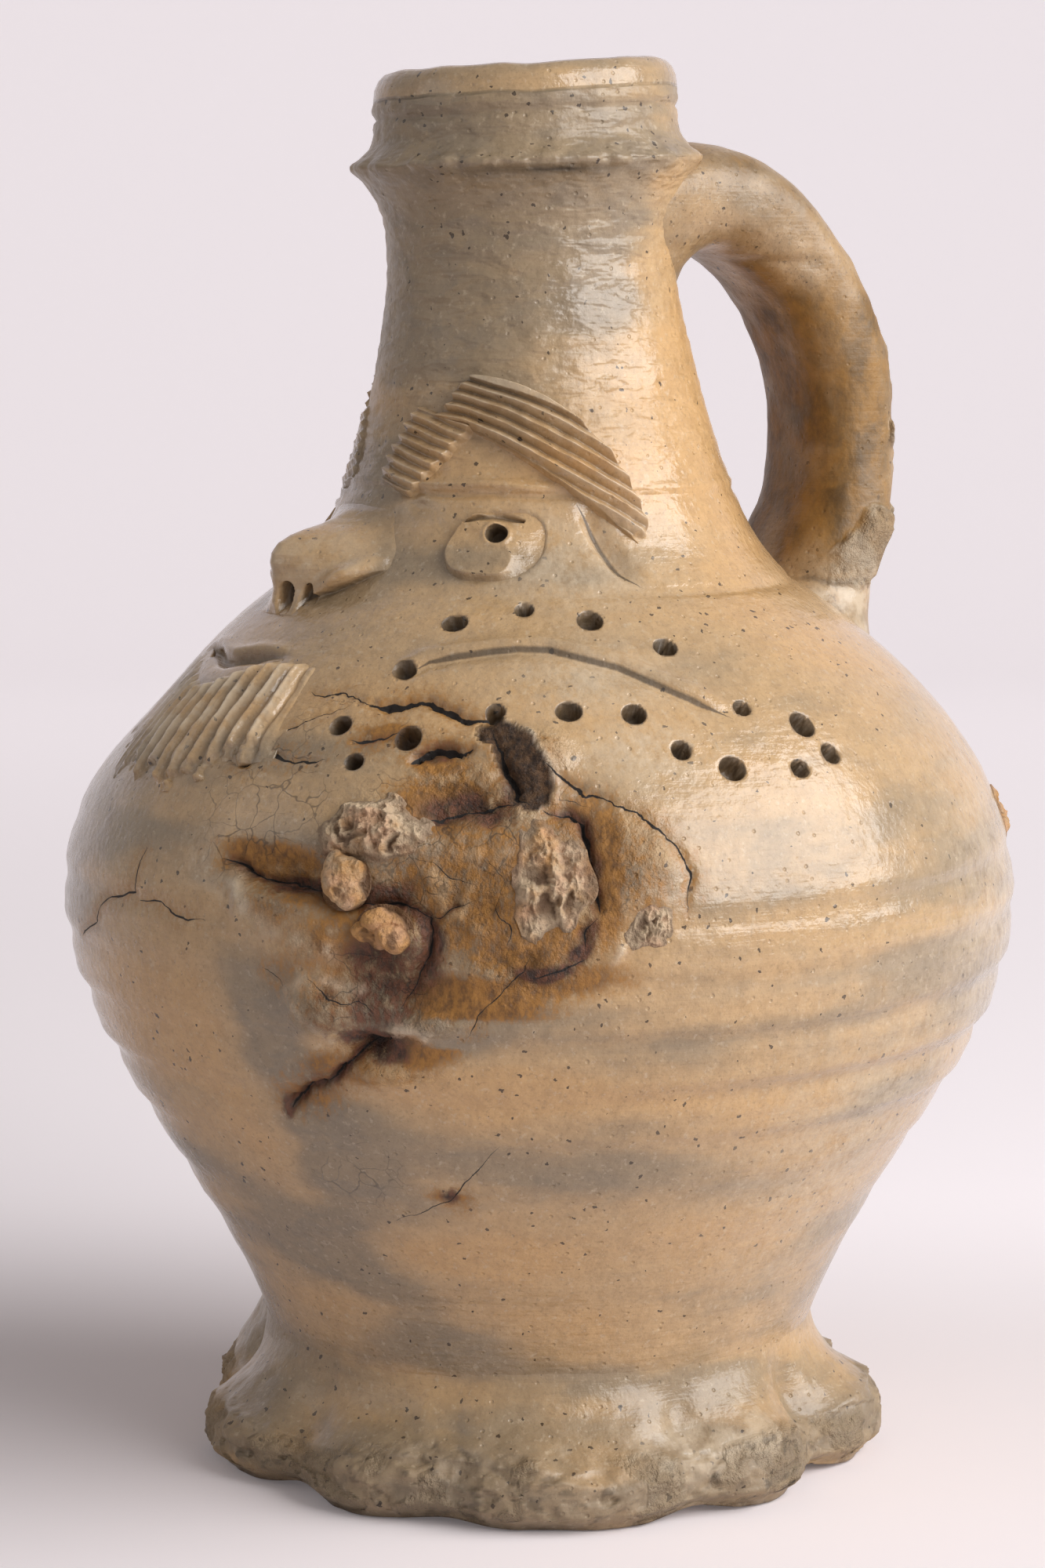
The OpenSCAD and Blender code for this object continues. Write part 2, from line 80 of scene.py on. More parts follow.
view = bpy.data.cameras.new("jug_view")
view.lens = LENS_MM
view.sensor_fit = "AUTO"
view.sensor_width = SENSOR_MM
camera = bpy.data.objects.new("jug_view", view)
view_sin, view_cos = math.sin(math.radians(VIEW_TURN)), math.cos(math.radians(VIEW_TURN))
camera.location = (VIEW_FAR * MM * view_sin, -VIEW_FAR * MM * view_cos, VIEW_HIGH * MM)
camera.rotation_euler = (math.radians(90 - VIEW_DROP), 0, math.radians(VIEW_TURN + VIEW_ASIDE))
bpy.context.scene.collection.objects.link(camera)
bpy.context.scene.camera = camera
print("camera at", [round(c, 3) for c in camera.location])

# %% [markdown]
# ## Unevenness for hand-made clay
# Nothing on a thrown pot is exact. Noise from a lattice gives the same unevenness on every run: each
# corner of a unit cube gets a number from its whole coordinates, and a point inside blends the
# eight corners smoothly. Adding copies at half the size and half the strength makes it rougher.

# %% Lattice noise
def corner_value(ix, iy, iz, seed):
    """A number from -1 to 1 for each lattice corner, scrambled from its three whole coordinates."""
    h = ix * 374761393 + iy * 668265263 + iz * 1274126177 + seed * 974634777
    h = h & 0xFFFFFFFF
    h = ((h ^ (h >> 13)) * 1274126177) & 0xFFFFFFFF
    h = h ^ (h >> 16)
    return h / 2147483648.0 - 1.0


def lump_noise(points, seed):
    """Smooth noise: the eight corner values round each point, blended by smooth steps."""
    base = np.floor(points)
    f = points - base
    f = f * f * (3 - 2 * f)
    i = base.astype(np.int64)
    total = np.zeros(points.shape[:-1])
    for corner in range(8):
        dx, dy, dz = corner // 4, corner // 2 % 2, corner % 2
        weight = np.abs(1 - dx - f[..., 0]) * np.abs(1 - dy - f[..., 1]) * np.abs(1 - dz - f[..., 2])
        total += weight * corner_value(i[..., 0] + dx, i[..., 1] + dy, i[..., 2] + dz, seed)
    return total


def rough(points, size, seed, octaves=3):
    """Sum of noises: the first has lumps of the given size in mm, each next one half of that."""
    total = np.zeros(points.shape[:-1])
    for k in range(octaves):
        total += lump_noise(points * (2.0 ** k / size) + 17.3 * k, seed + k) * 0.5 ** k
    return total


def crumpled(points, size, seed):
    """A folded crust, about -1 to 1: noise at three sizes, creased where each crosses zero."""
    total = np.zeros(points.shape[:-1])
    for k in range(3):
        total += (1 - 3.2 * np.abs(lump_noise(points * 2**k / size + 7 * k, seed + k))) / 1.6**k
    return total / 1.6


probe = np.linspace(0, 9, 40)[:, None] * np.array([1.0, 0.7, 0.4])
print("noise runs from", round(lump_noise(probe, 1).min(), 2), "to", round(lump_noise(probe, 1).max(), 2))

# %% [markdown]
# Two curves are used all through: a smooth step, which turns a limit into a soft edge, and a bell,
# which turns a distance into a soft spot or ridge.

# %% Steps and bells
def ease(x, low, high):
    """Smooth step from 0 at low to 1 at high."""
    t = np.clip((x - low) / (high - low), 0, 1)
    return t * t * (3 - 2 * t)


def bell(x, wide):
    """1 where x is 0, and about a third of that where x is as large as the width."""
    return np.exp(-(x / wide) ** 2)


print("bell at its width:", round(float(bell(1.0, 1.0)), 2))

# %% [markdown]
# ## The thrown wall
# The solid pot is a turned profile. The same stations are repeated here: a height, a radius, and
# the lean of the wall coming up to that height and going on from it. Between two stations the wall
# is a cubic curve. The pot's height and the widest place that it may reach come from the solids' box. A
# place on the wall is given by a turn from the nose, in degrees, and a height.

# %% Profile of the wall
POT_HIGH = round(float(cad_box[1][2]) / MM, 2)
WIDEST = math.floor(float(cad_box[1][1]) / MM * 10) / 10
STATIONS = np.array([
    (0, 40, 0.1, 0.1), (20, 43, 0.3, 0.3), (90, 75.0, 0, 0), (138.5, 40.3, -1.5, -1.15),
    (156, 29.4, -0.36, -0.36), (190, 22.3, 0, 0), (203.9, 27.4, 1, 0), (204.8, 27.4, 0, -1.6),
    (210, 23.7, 0, 0), (216, 23.6, 0, 0), (POT_HIGH, 23.6, 0, 0)])
LEAN_STEP = 0.4


def wall_radius(z):
    """Radius of the smooth wall: the cubic between the two stations that hold each height."""
    z = np.asarray(z, float)
    k = np.clip(np.searchsorted(STATIONS[:, 0], z, side="left") - 1, 0, len(STATIONS) - 2)
    low, high = STATIONS[k], STATIONS[k + 1]
    run = high[..., 0] - low[..., 0]
    t = (z - low[..., 0]) / run
    return ((2 * t**3 - 3 * t**2 + 1) * low[..., 1] + (t**3 - 2 * t**2 + t) * run * low[..., 3]
            + (3 * t**2 - 2 * t**3) * high[..., 1] + (t**3 - t**2) * run * high[..., 2])


def wall_lean(z):
    """How much the radius grows per mm of height, from two heights close together."""
    above = wall_radius(np.minimum(z + LEAN_STEP, POT_HIGH - 0.1))
    below = wall_radius(np.maximum(z - LEAN_STEP, 0.0))
    return (above - below) / (2 * LEAN_STEP)


RUN_Z = np.linspace(0, POT_HIGH, 2201)
RUN_MM = np.concatenate([[0], np.cumsum(np.hypot(np.diff(RUN_Z), np.diff(wall_radius(RUN_Z))))])


def run_up(z):
    """Length of the way up the wall from the ground to a height."""
    return np.interp(z, RUN_Z, RUN_MM)


def turn_gap(theta, at):
    """Turn from one place to another, between -180 and 180 degrees."""
    return (theta - at + 180) % 360 - 180


print("height, half width and way up the wall, mm:", POT_HIGH, WIDEST, round(float(RUN_MM[-1]), 1))

# %% [markdown]
# The wet neck sagged: it leans to one side, and the collar dips there. Every piece that sits on the
# wall is sent through the same sagging, so nothing comes apart.

# %% Places on the sagging wall
NECK_LEAN = 2.3
LEAN_SIDE = np.array([-0.47, -0.88])
LEAN_FROM = 150
COLLAR_DIP = 3.0
LOW_SIDE = np.array([0.04, -0.99])
COLLAR_FROM, LIP_FOOT = 186, 216
COLLAR_REACH = 26


def settle(points):
    """The neck leans to one side and the collar dips there, more and more with the height."""
    up = ease(points[..., 2], LEAN_FROM, POT_HIGH)
    collar = ease(points[..., 2], COLLAR_FROM, LIP_FOOT)
    side = np.clip(points[..., :2] @ LOW_SIDE / COLLAR_REACH, -1, 1)
    moved = points.copy()
    moved[..., :2] += NECK_LEAN * LEAN_SIDE * up[..., None]
    moved[..., 2] -= COLLAR_DIP * collar * (1 + side) / 2
    return moved


def round_axis(theta, r, z):
    """Points at a turn, a distance from the axis and a height, before any sagging."""
    a = np.radians(theta)
    return np.stack([r * np.sin(a), -r * np.cos(a), z + 0 * a], -1)


def on_wall(theta, z, out):
    """Points at a turn and height, moved out along the wall's normal."""
    lean = wall_lean(z)
    size = np.sqrt(1 + lean**2)
    return settle(round_axis(theta, wall_radius(z) + out / size, z - out * lean / size))


def at_wall(theta, z):
    """Points on the smooth wall itself, where noise is read."""
    return on_wall(theta, z, 0 * theta)


print("rim moved by, mm:", np.round(NECK_LEAN * LEAN_SIDE, 1))

# %% [markdown]
# ## Marks of the wheel
# A thrower's fingers leave a rising spiral of soft ridges, strongest on the lower belly, and the
# finishing rib leaves fine lines on the neck. The spiral climbs one pitch in each turn, so it
# closes on itself. Slow noise keeps the ridges from looking machined.

# %% Throwing marks
RIDGE_PITCH = 8.9
RIDGE_START = 0.298
RIDGE_LOW, RIDGE_HIGH = 27.0, 106.0
# Turn, spread, added height and the two heights between which the stronger ridges set in
RIDGE_SIDES = [(140, 48, 0.28, 50, 70), (-28, 36, 0.22, 30, 45)]
RIB_PITCH = 2.9
NECK_SWELL = 174
PRESSED_AT, PRESSED_UP = -30, 121


def thrown(theta, z):
    """Ridge height: a lopsided wave on the climbing spiral, faded at both ends, plus slow swells."""
    ring = round_axis(theta, 1.6, z / 22)
    climb = 2 * np.pi * (z / RIDGE_PITCH - theta / 360 + RIDGE_START) + 0.7 * lump_noise(ring, 3)
    fade = np.sin(np.pi * np.clip((z - RIDGE_LOW) / (RIDGE_HIGH - RIDGE_LOW), 0, 1)) ** 0.7
    wave = np.sin(climb) + 0.4 * np.sin(2 * climb + 0.8)
    strength = 0.15 + 0.11 * lump_noise(ring * 1.3 + 9, 5)
    for at, spread, more, low, high in RIDGE_SIDES:
        strength = strength + more * bell(turn_gap(theta, at), spread) * ease(z, low, high)
    swell = 0.3 * lump_noise(ring * 0.9 + 31, 7) * ease(z, 20, 50) + 0.5 * bell(z - NECK_SWELL, 10)
    swell = swell - 2.0 * bell(turn_gap(theta, PRESSED_AT), 24) * bell(z - PRESSED_UP, 11)
    ripple = lump_noise(round_axis(theta, 5, z / 6), 9)
    lines = 0.075 * np.sin(2 * np.pi * z / RIB_PITCH + 4.5 * ripple) * ease(z, 142, 160)
    return fade * strength * wave + swell + lines - 0.2 * fade


print("ridges on the belly:", round((RIDGE_HIGH - RIDGE_LOW) / RIDGE_PITCH, 1))

# %% [markdown]
# ## Lines drawn on the wall
# Cracks and scratches are lines on a curved wall. The distance of a wall point from such a line is
# measured on the wall laid flat: along the turn as arc length, and up the wall as way run. The sign
# says on which side of the line the point lies, so a shader can find the line between two points.

# %% Distance from a line or a spot on the wall
def from_line(theta, z, path):
    """Signed distance from a line in mm, the way along it, the overrun past its ends, its length."""
    best = np.full(theta.shape, 1e6)
    side = np.ones(theta.shape)
    along = np.zeros(theta.shape)
    over = np.zeros(theta.shape)
    start = 0.0
    last = len(path) - 2
    for k in range(last + 1):
        (ta, za), (tb, zb) = path[k], path[k + 1]
        r = float(wall_radius((za + zb) / 2))
        ex, ey = r * math.radians(tb - ta), float(run_up(zb) - run_up(za))
        length = math.hypot(ex, ey)
        px, py = r * np.radians(turn_gap(theta, ta)), run_up(z) - run_up(za)
        t = (px * ex + py * ey) / length
        s = (ex * py - ey * px) / length
        held = np.clip(t, 0, length)
        gap = np.hypot(s, t - held)
        past = np.maximum(-t if k == 0 else 0 * t, t - length if k == last else 0 * t)
        near = gap < best
        best = np.where(near, gap, best)
        side = np.where(near, np.where(s < 0, -1.0, 1.0), side)
        along = np.where(near, start + held, along)
        over = np.where(near, np.maximum(past, 0), over)
        start += length
    return side * best, along, over, start


def from_spot(theta, z, at, up):
    """Distance in mm of wall points from one place on the wall."""
    r = float(wall_radius(up))
    return np.hypot(r * np.radians(turn_gap(theta, at)), run_up(z) - run_up(up))


def patch(theta, z, at, up, wide, tall):
    """Soft round patch, 1 in its middle: a bell of the turn as arc length and of the height."""
    r = float(wall_radius(up))
    return bell(r * np.radians(turn_gap(theta, at)), wide) * bell(z - up, tall)


half_round = from_spot(np.array(180.0), np.array(90.0), 0, 90)
print("half round the belly, mm:", round(float(half_round), 1))

# %% [markdown]
# ## Carving on the mask
# The potter punched dots with a stick round each cheek, drew an arched line between them, cut a
# crescent for the mouth and a leaf-shaped nick at the end of each brow. The photograph shows the
# mask's left side; the right side is taken as its mirror image, with slightly shaken places. Every
# place is a turn and a height.

# %% Places of the carving
DOT_PLACES = [
    (40.3, 128.7), (46, 135.1), (59, 136.9), (71.5, 135.4), (83.6, 131.6), (91.7, 123.2),
    (100.3, 120.5), (102.6, 116.4), (96.6, 114.8), (86.8, 115.4), (80.5, 118.1), (75.2, 123),
    (66.1, 123.5), (55.9, 123.5), (44.4, 119.9), (33.9, 121.1), (37.9, 116.4)]
DOT_RADIUS = 1.95
DOT_DEEP = 3.3
PUPIL = (51.2, 147.1)
EYE_AT, EYE_UP = 51.7, 146.0
EYE_HALF_TURN, EYE_HALF_TALL = 14.0, 5.6
EYE_SLANT = 0.16
CHEEK_LINE = [
    (39.7, 126), (41.7, 128.7), (43.9, 129.8), (48.2, 130.6), (53.3, 131.3), (58.4, 131.7),
    (63.5, 131.6), (68.5, 130.5), (74.6, 129.1), (80, 126.7), (84.2, 124.7), (89.6, 121.6)]
MOUTH_LINE = [
    (-17, 129.5), (-9, 129.4), (-3, 128.5), (1, 128.3), (5, 129), (9, 129.4), (13, 129.4), (17, 129.5)]
NICK_LINE = [(85, 139.4), (81.3, 142.2), (78, 145.6), (75, 149.4), (72, 152.2)]
HOOD_LINE = [(33, 162.4), (49, 159.6), (64, 155.2), (73, 151.6)]
LEDGE_LINE = [(13, 153.8), (23.5, 153.3), (34.5, 153.3), (47.7, 153.6), (58, 153.2), (70, 153.3)]
DAB_LINE = [(20, 152.2), (27, 151.6), (34, 151)]
LID_LINE = [(42, 148.9), (45.7, 149.6), (52, 149.9), (58, 149.3)]

shaker = np.random.default_rng(11)
right_dots = [(-t - shaker.uniform(-1.2, 1.2), z + shaker.uniform(-0.8, 0.8)) for t, z in DOT_PLACES]
ALL_DOTS = DOT_PLACES + right_dots
ALL_HOLES = ALL_DOTS + [PUPIL, (-PUPIL[0], PUPIL[1])]
print("dots:", len(ALL_DOTS))

# %% [markdown]
# A stick drawn through soft clay leaves a rounded furrow and pushes the clay up along one side. Three
# turned lines run round the pot as well: one on the shoulder behind the mask, a raised ring under the
# neck, and one under the lip.

# %% Drawn lines
# Path, half width, depth and the height of the pushed-up clay, all in mm
DRAWN = [
    (LID_LINE, 0.55, 0.8, 0.3), (CHEEK_LINE, 1.15, 0.65, 0.5), (NICK_LINE, 1.7, 1.7, 0.15),
    (HOOD_LINE, 2.0, 0.7, 0.0), (LEDGE_LINE, 0.6, 0.7, 0.8), (DAB_LINE, 0.7, 0.9, 0.8)]
SHOULDER_TURNED, RING_TURNED, LIP_TURNED = 138.9, 153.9, 212.6


def mirrored(path):
    """The same line on the other side of the nose."""
    return [(-t, z) for t, z in path]


def groove(theta, z, path, half, deep, burr):
    """A drawn line: a rounded furrow that runs out at both ends, with clay pushed up on one side."""
    d, along, over, length = from_line(theta, z, path)
    taper = ease(np.minimum(along, length - along), 0, 6) * (over < 0.01)
    furrow = deep * bell(d, np.where(d > 0, 0.6, 1.3) * half)
    pushed = burr * bell(d - 1.7 * half, half)
    return (pushed - furrow) * taper


def carved(theta, z):
    """All drawn lines of the mask and the turned lines of shoulder, neck and lip, as height."""
    h = groove(theta, z, MOUTH_LINE, 1.0, 1.9, 0.4)
    for path, half, deep, burr in DRAWN:
        for line in (path, mirrored(path)):
            h += groove(theta, z, line, half, deep, burr)
    behind = ease(np.abs(turn_gap(theta, 180)), 118, 92)
    ring = z - RING_TURNED - 0.5 * np.sin(np.radians(theta * 2 + 40))
    h -= 0.35 * bell(z - SHOULDER_TURNED, 0.55) * behind
    h += 0.34 * bell(ring - 0.5, 0.6) - 0.26 * bell(ring + 0.7, 0.7)
    h += 0.2 * bell(z - LIP_TURNED - 1.6, 0.8) - 0.5 * bell(z - LIP_TURNED, 0.55)
    return h


print("drawn lines on each side:", len(DRAWN))

# %% [markdown]
# Shade in the cuts is painted. The lid and the mouth keep it as a share on the points. The thin cheek
# line and the nick are finer than the points, so these store their distance, and the shader paints
# them dark. The wall is also pressed in under each eye, to seat the pellet.

# %% Painted shade in the cuts, and the eyes' seats
CUTS = [[(t, z + 0.25) for t, z in CHEEK_LINE[1:]], NICK_LINE]
FAR_OFF = 50.0


def cut_shade(theta, z):
    """Share of painted shade in the lid cut and the mouth."""
    shade_share = np.zeros(theta.shape)
    for path, half in ((LID_LINE, 0.5), (MOUTH_LINE, 0.9)):
        d, along, over, length = from_line(theta, z, path)
        taper = ease(np.minimum(along, length - along), 0, 5) * (over < 0.01)
        shade_share = np.maximum(shade_share, bell(d, half) * taper)
    return 0.72 * shade_share


def cut_gap(theta, z):
    """Signed distance in mm from the nearest cut painted with shade, stretched towards its ends so that it
    runs out.
    """
    best = np.full(theta.shape, FAR_OFF)
    for path in CUTS + [mirrored(path) for path in CUTS]:
        d, along, over, length = from_line(theta, z, path)
        fade = np.clip(np.minimum(along, length - along) / 6, 0.05, 1)
        closer = (np.abs(d) / fade < np.abs(best)) & (over < 0.01)
        best = np.where(closer, d / fade, best)
    return best


def rounded_square(x, y):
    """0 in the middle, 1 on the outline of a square with well-rounded corners."""
    return (np.abs(x) ** 2.5 + np.abs(y) ** 2.5) ** 0.4


def eye_bed(theta, z):
    """1 under each eye pellet, where the wall is pressed in to seat it: a leaning rounded square."""
    y = (z - EYE_UP) / EYE_HALF_TALL
    x = (np.abs(theta) - EYE_AT) / EYE_HALF_TURN - EYE_SLANT * y
    return 1 - ease(rounded_square(x, y), 0.74, 0.86)


print("cuts drawn by the shader:", 2 * len(CUTS))

# %% [markdown]
# ## The burst
# In the firing a blister opened on the mask's left: the wall sank, folded and tore. The sunken
# ground is a few soft hollows and swells. The tears are lines with a width; each has a narrow gap
# painted black as the shade inside the crack, and the wall falls towards it from either side by its own
# depth and reach. Two tears that lie close together go into different sets, because a shader finds a
# gap from one signed distance per set.

# %% Places of the burst
# Turn, height, half width, half height and depth or rise in mm
HOLLOWS = [
    (44.5, 86.5, 8, 7, 3.0), (54, 99, 13, 8, 1.6), (55, 111.5, 9, 2.8, 1.7), (52, 114, 6, 3, 0.8),
    (32, 101, 8, 2.8, 2.2), (42.5, 75.5, 5, 2.4, 1.0), (66, 100, 6, 9, 0.8), (60, 89, 8, 4, 0.7)]
SWELLS = [
    (31, 95.2, 5.5, 3.2, 2.5), (36, 91.8, 4.5, 3, 1.8), (37, 82, 5.5, 4.6, 1.7),
    (62.8, 118.4, 4, 2.4, 1.4), (73.5, 104, 5, 7, 0.9), (42, 107, 9, 5, 0.7),
    (49.5, 80.3, 5, 1.7, 1.0), (44, 72.2, 8, 1.7, 0.8)]
BROKEN_PLATE = [(54.5, 120.9), (57.6, 120.4), (59.6, 117.2), (61, 114.6), (60.6, 112.6)]
BLACK_HOLE = (42.5, 76.0)
# Path, half width and rise in mm of each lip of curled skin
LIPS = [
    ([(24.8, 100), (27.2, 96), (29, 93.6), (31.4, 92.6), (33.8, 91.5), (36.5, 90.3), (39, 90.3)], 1.3, 0.8),
    ([(35.6, 86.6), (33.8, 84), (34.4, 81.8), (35.6, 80.1), (37.9, 77.1)], 0.8, 0.6),
    ([(36.2, 86.5), (38.8, 85.8), (41.6, 84.3)], 0.7, 0.6),
    ([(57.6, 122), (60.8, 119.9), (63.9, 114.9)], 0.8, 0.7),
    ([(45.5, 79), (48.5, 79.6), (49.6, 78.4)], 1.1, 0.7),
    ([(71.3, 92), (69.8, 89.8)], 0.9, 0.8)]
DEEPEST = -4.2
print("hollows and swells:", len(HOLLOWS), len(SWELLS))

# %% [markdown]
# Each tear has a path, a width, a depth, the fall and reach of the wall on its left and right, going
# along it, the set that it belongs to, and how much the fire burnt its edges. Most are hairlines, so a
# hairline's numbers are what a tear has unless it says otherwise.

# %% Tears
TEAR_SETS = 3
NO_WIDTH = -9.0


def tear(path, wide=0.22, deep=0.2, left=(0.1, 1), right=(0.1, 1), group=0, heat=0.2):
    """One tear's numbers in the order in which they are used."""
    return path, wide, deep, left, right, group, heat


TEARS = {
    "long_fold": tear(
        [(22.6, 102.1), (24, 101.8), (27.3, 100.7), (30.8, 99.7), (33.4, 99.6), (36, 99.2), (39.9, 97.4),
         (42.3, 97.9), (44.5, 97.7), (47.6, 97), (49.5, 96.1), (50, 92.7), (49.4, 89.2), (47.5, 84.7),
         (46, 81.5)], 0.38, 1.2, (1.9, 4.2), (2.0, 1.6), heat=0.9),
    "slab_edge": tear(
        [(63, 116.2), (65.6, 114), (69.7, 111.5), (73.8, 109.9), (76.1, 107.7), (77.7, 104.7),
         (79.2, 101), (78.8, 98.5), (78.4, 96.1)], 0.38, 0.5, right=(0.4, 2), heat=0.25),
    "arch": tear(
        [(45.2, 116.4), (46.3, 117.8), (47.9, 118.7), (50.5, 118.8), (53, 118.3)],
        0.85, 1.8, (0.2, 0.8), (1.6, 3), heat=0.8),
    "lower_burst": tear([(39.6, 47.1), (45.7, 49.7), (50.1, 52), (52.7, 55.5), (57.3, 61.7)], heat=0.0),
    "left_hair": tear(
        [(9.5, 103), (8.8, 99), (8.5, 95.4), (1.8, 92.8), (-1.7, 89.3), (-9, 85)],
        0.36, 0.4, (0.2, 2), (0.1, 2)),
    "right_tear": tear(
        [(62.6, 111.2), (64.2, 110.5), (66.1, 110.6), (67.5, 109), (67.7, 106.5), (67.4, 102.9),
         (67.9, 100), (69, 96.6)], 0.7, 1.6, (1.0, 2.6), (1.2, 1.2), 1, 1.0),
    "right_low": tear(
        [(69, 96.2), (67, 94.4), (67, 92.9), (67.2, 90.6)], 0.34, 0.5, (0.3, 1.5), (0.4, 1), 1, 0.9),
    "right_twig": tear([(68.1, 111.5), (64.6, 112.6), (65.6, 113.8)], group=2, heat=0.4),
    "brow_tear": tear(
        [(37, 124), (39.5, 123.9), (41.4, 124.3), (44.3, 124.8), (48.4, 124.1), (51.5, 123.1),
         (56, 122.2)], 0.85, 1.2, (0.2, 1), (0.7, 3.5), 1, 0.35),
    "brow_thin": tear(
        [(25.6, 125.5), (30.1, 125.3), (35.1, 124.4), (38.5, 123.8)],
        0.26, 0.3, right=(0.3, 2), group=2, heat=0.1),
    "low_hole": tear(
        [(45.3, 77.3), (42.3, 75.7), (39.7, 73.1), (36.1, 70.4), (33.2, 68.1), (30.2, 66.3),
         (29.2, 64.2)], 0.55, 1.6, (1.7, 3.2), (1.5, 1.0), 1, 1.0),
    "left_hair_2": tear([(9, 94), (14.3, 94.3), (16.8, 93.2), (21.5, 93)], 0.28, 0.3, group=1, heat=0.1),
    "fork": tear([(49.6, 96.2), (51.7, 96.9), (54.6, 98.7)], 0.4, 0.8, (0.6, 2.5), (0.4, 2), 2, 0.9),
    "plate_tear": tear(
        [(55.9, 121), (57, 118.6), (57.5, 116.3), (59.3, 113.3), (61.5, 112)],
        0.7, 1.2, (0.4, 1), (0.3, 1), 2, 0.8),
    "dot_hair": tear(
        [(35.4, 119.6), (39.4, 119.5), (41, 120.2), (43.5, 121.2)],
        0.4, 0.4, right=(0.2, 1), group=2, heat=0.6),
    "long_hair": tear([(61.1, 90.6), (58.2, 85.3), (55.9, 81.8), (54, 78.2)], group=2),
    "short_hair": tear([(29.7, 87.6), (32.9, 84.6)], 0.25, 0.3, group=2, heat=0.3),
    "smear": tear([(67.2, 90.2), (63.9, 88.7), (60.6, 87.2)], 0.6, 0.4, (0.3, 2), (0.4, 2), 2, 1.0),
    "beard_hair": tear(
        [(17.5, 115), (22, 114.9), (24.3, 116.3), (29.9, 116.4), (33.9, 117)], 0.4, 0.5, (0.2, 2)),
    "plate_fold": tear(
        [(59.5, 112.4), (56.5, 111.9), (53.5, 111.2), (50.5, 110), (47.8, 108.9)],
        0.4, 0.7, (0.6, 2.0), (0.6, 1.5), heat=0.85),
    "centre_hair": tear([(56, 104.5), (58, 101), (57, 97.5), (59, 94), (58.4, 91)]),
    "lump_hair": tear([(46.5, 104.4), (50, 103.6), (52, 101.8), (54.6, 100.9)], group=1),
    "crust_hair": tear([(36, 86), (38.2, 83.4), (41, 82.6), (43, 80.4)], 0.24, 0.3, (0.2, 1), heat=0.3),
    "beard_hair_2": tear(
        [(23.5, 115), (24.3, 119.4), (27.1, 121.4), (31.5, 123.1), (34, 123.7)],
        0.3, 0.3, group=2, heat=0.1),
}
print("tears:", len(TEARS))

# %% [markdown]
# A torn edge isn't a smooth line. The places that are measured against a tear are first shaken by
# noise, so the same smooth path tears unevenly.

# %% Tearing the wall
def jagged(theta, z):
    """Places shaken by small and larger noise, so that a line drawn through them tears unevenly."""
    p = at_wall(theta, z)
    shift_a = 0.7 * lump_noise(p / 3.4, 21) + 0.32 * lump_noise(p / 1.0, 22)
    shift_b = 0.7 * lump_noise(p / 3.4 + 40, 23) + 0.32 * lump_noise(p / 1.0 + 40, 24)
    return theta + np.degrees(shift_a / wall_radius(z)), z + shift_b


def tears_at(theta, z):
    """For each set the signed distance and width of its nearest tear; all tears' depth; their burn."""
    th, zz = jagged(theta, z)
    uneven = 0.8 + 0.5 * lump_noise(at_wall(theta, z) / 2.6, 25)
    near = [np.full(theta.shape, FAR_OFF) for _ in range(TEAR_SETS)]
    width = [np.full(theta.shape, NO_WIDTH) for _ in range(TEAR_SETS)]
    depth = np.zeros(theta.shape)
    burn = np.zeros(theta.shape)
    for path, wide, deep, left, right, group, heat in TEARS.values():
        d, along, over, length = from_line(th, zz, path)
        ends = np.minimum(along, length - along)
        w = wide * uneven * np.clip(0.25 + ends / 4.5, 0, 1) - 3 * over
        closer = np.abs(d) - w / 2 < np.abs(near[group]) - width[group] / 2
        near[group] = np.where(closer, d, near[group])
        width[group] = np.where(closer, w, width[group])
        live = np.clip(w / wide, 0, 1)
        depth += deep * live * (1 - ease(np.abs(d), 0.2 * wide, 0.5 * wide + 0.5))
        fall, reach = np.where(d > 0, left[0], right[0]), np.where(d > 0, left[1], right[1])
        depth += fall * ease(ends - over, -2, 4) * np.exp(-np.abs(d) / reach) * np.exp(-over)
        burn = np.maximum(burn, heat * ease(ends - over, -3, 4) * np.exp(-np.hypot(d, over) / 1.35))
    return near, width, depth, burn


print("widest tear, mm:", max(numbers[1] for numbers in TEARS.values()))

# %% [markdown]
# Between the tears the ground is sunken and folded, one plate of wall broke out dark, and the thin
# skin of the blister curled up into pale lips.

# %% Ground, plate and lips
def burst_ground(theta, z):
    """Height of the sunken ground: swells less hollows, with folded roughness inside the burst."""
    h = np.zeros(theta.shape)
    inside = np.zeros(theta.shape)
    for at, up, wide, tall, deep in HOLLOWS:
        spot = patch(theta, z, at, up, wide, tall)
        h -= deep * spot
        inside = np.maximum(inside, spot)
    for at, up, wide, tall, high in SWELLS:
        spot = patch(theta, z, at, up, wide, tall)
        h += high * spot
        inside = np.maximum(inside, 0.7 * spot)
    p = at_wall(theta, z)
    grain = 0.5 * rough(p, 3.4, 51, 4) + 0.5 * crumpled(p, 6.5, 53)
    return h + 1.1 * inside * grain, inside, inside * grain


def plate_share(theta, z):
    """1 inside the dark broken plate, 0 outside: how far a point lies from the plate's middle line."""
    th, zz = jagged(theta, z)
    d, along, over, length = from_line(th, zz, BROKEN_PLATE)
    half = 2.0 + 1.2 * ease(along, 0, length * 0.5)
    return 1 - ease(np.abs(d) + over, half - 0.3, half + 0.3)


def lips_at(theta, z):
    """Height and pale share of the raised lips where the skin of the burst curled up."""
    th, zz = jagged(theta, z)
    broken = np.clip(0.6 + 0.7 * rough(at_wall(theta, z), 3, 57, 3), 0, 1)
    high = np.zeros(theta.shape)
    pale = np.zeros(theta.shape)
    for path, half, rise in LIPS:
        d, along, over, length = from_line(th, zz, path)
        lip = bell(np.abs(d) + over, half) * broken
        high = np.maximum(high, rise * lip)
        pale = np.maximum(pale, lip)
    return high, pale


print("lips:", len(LIPS))
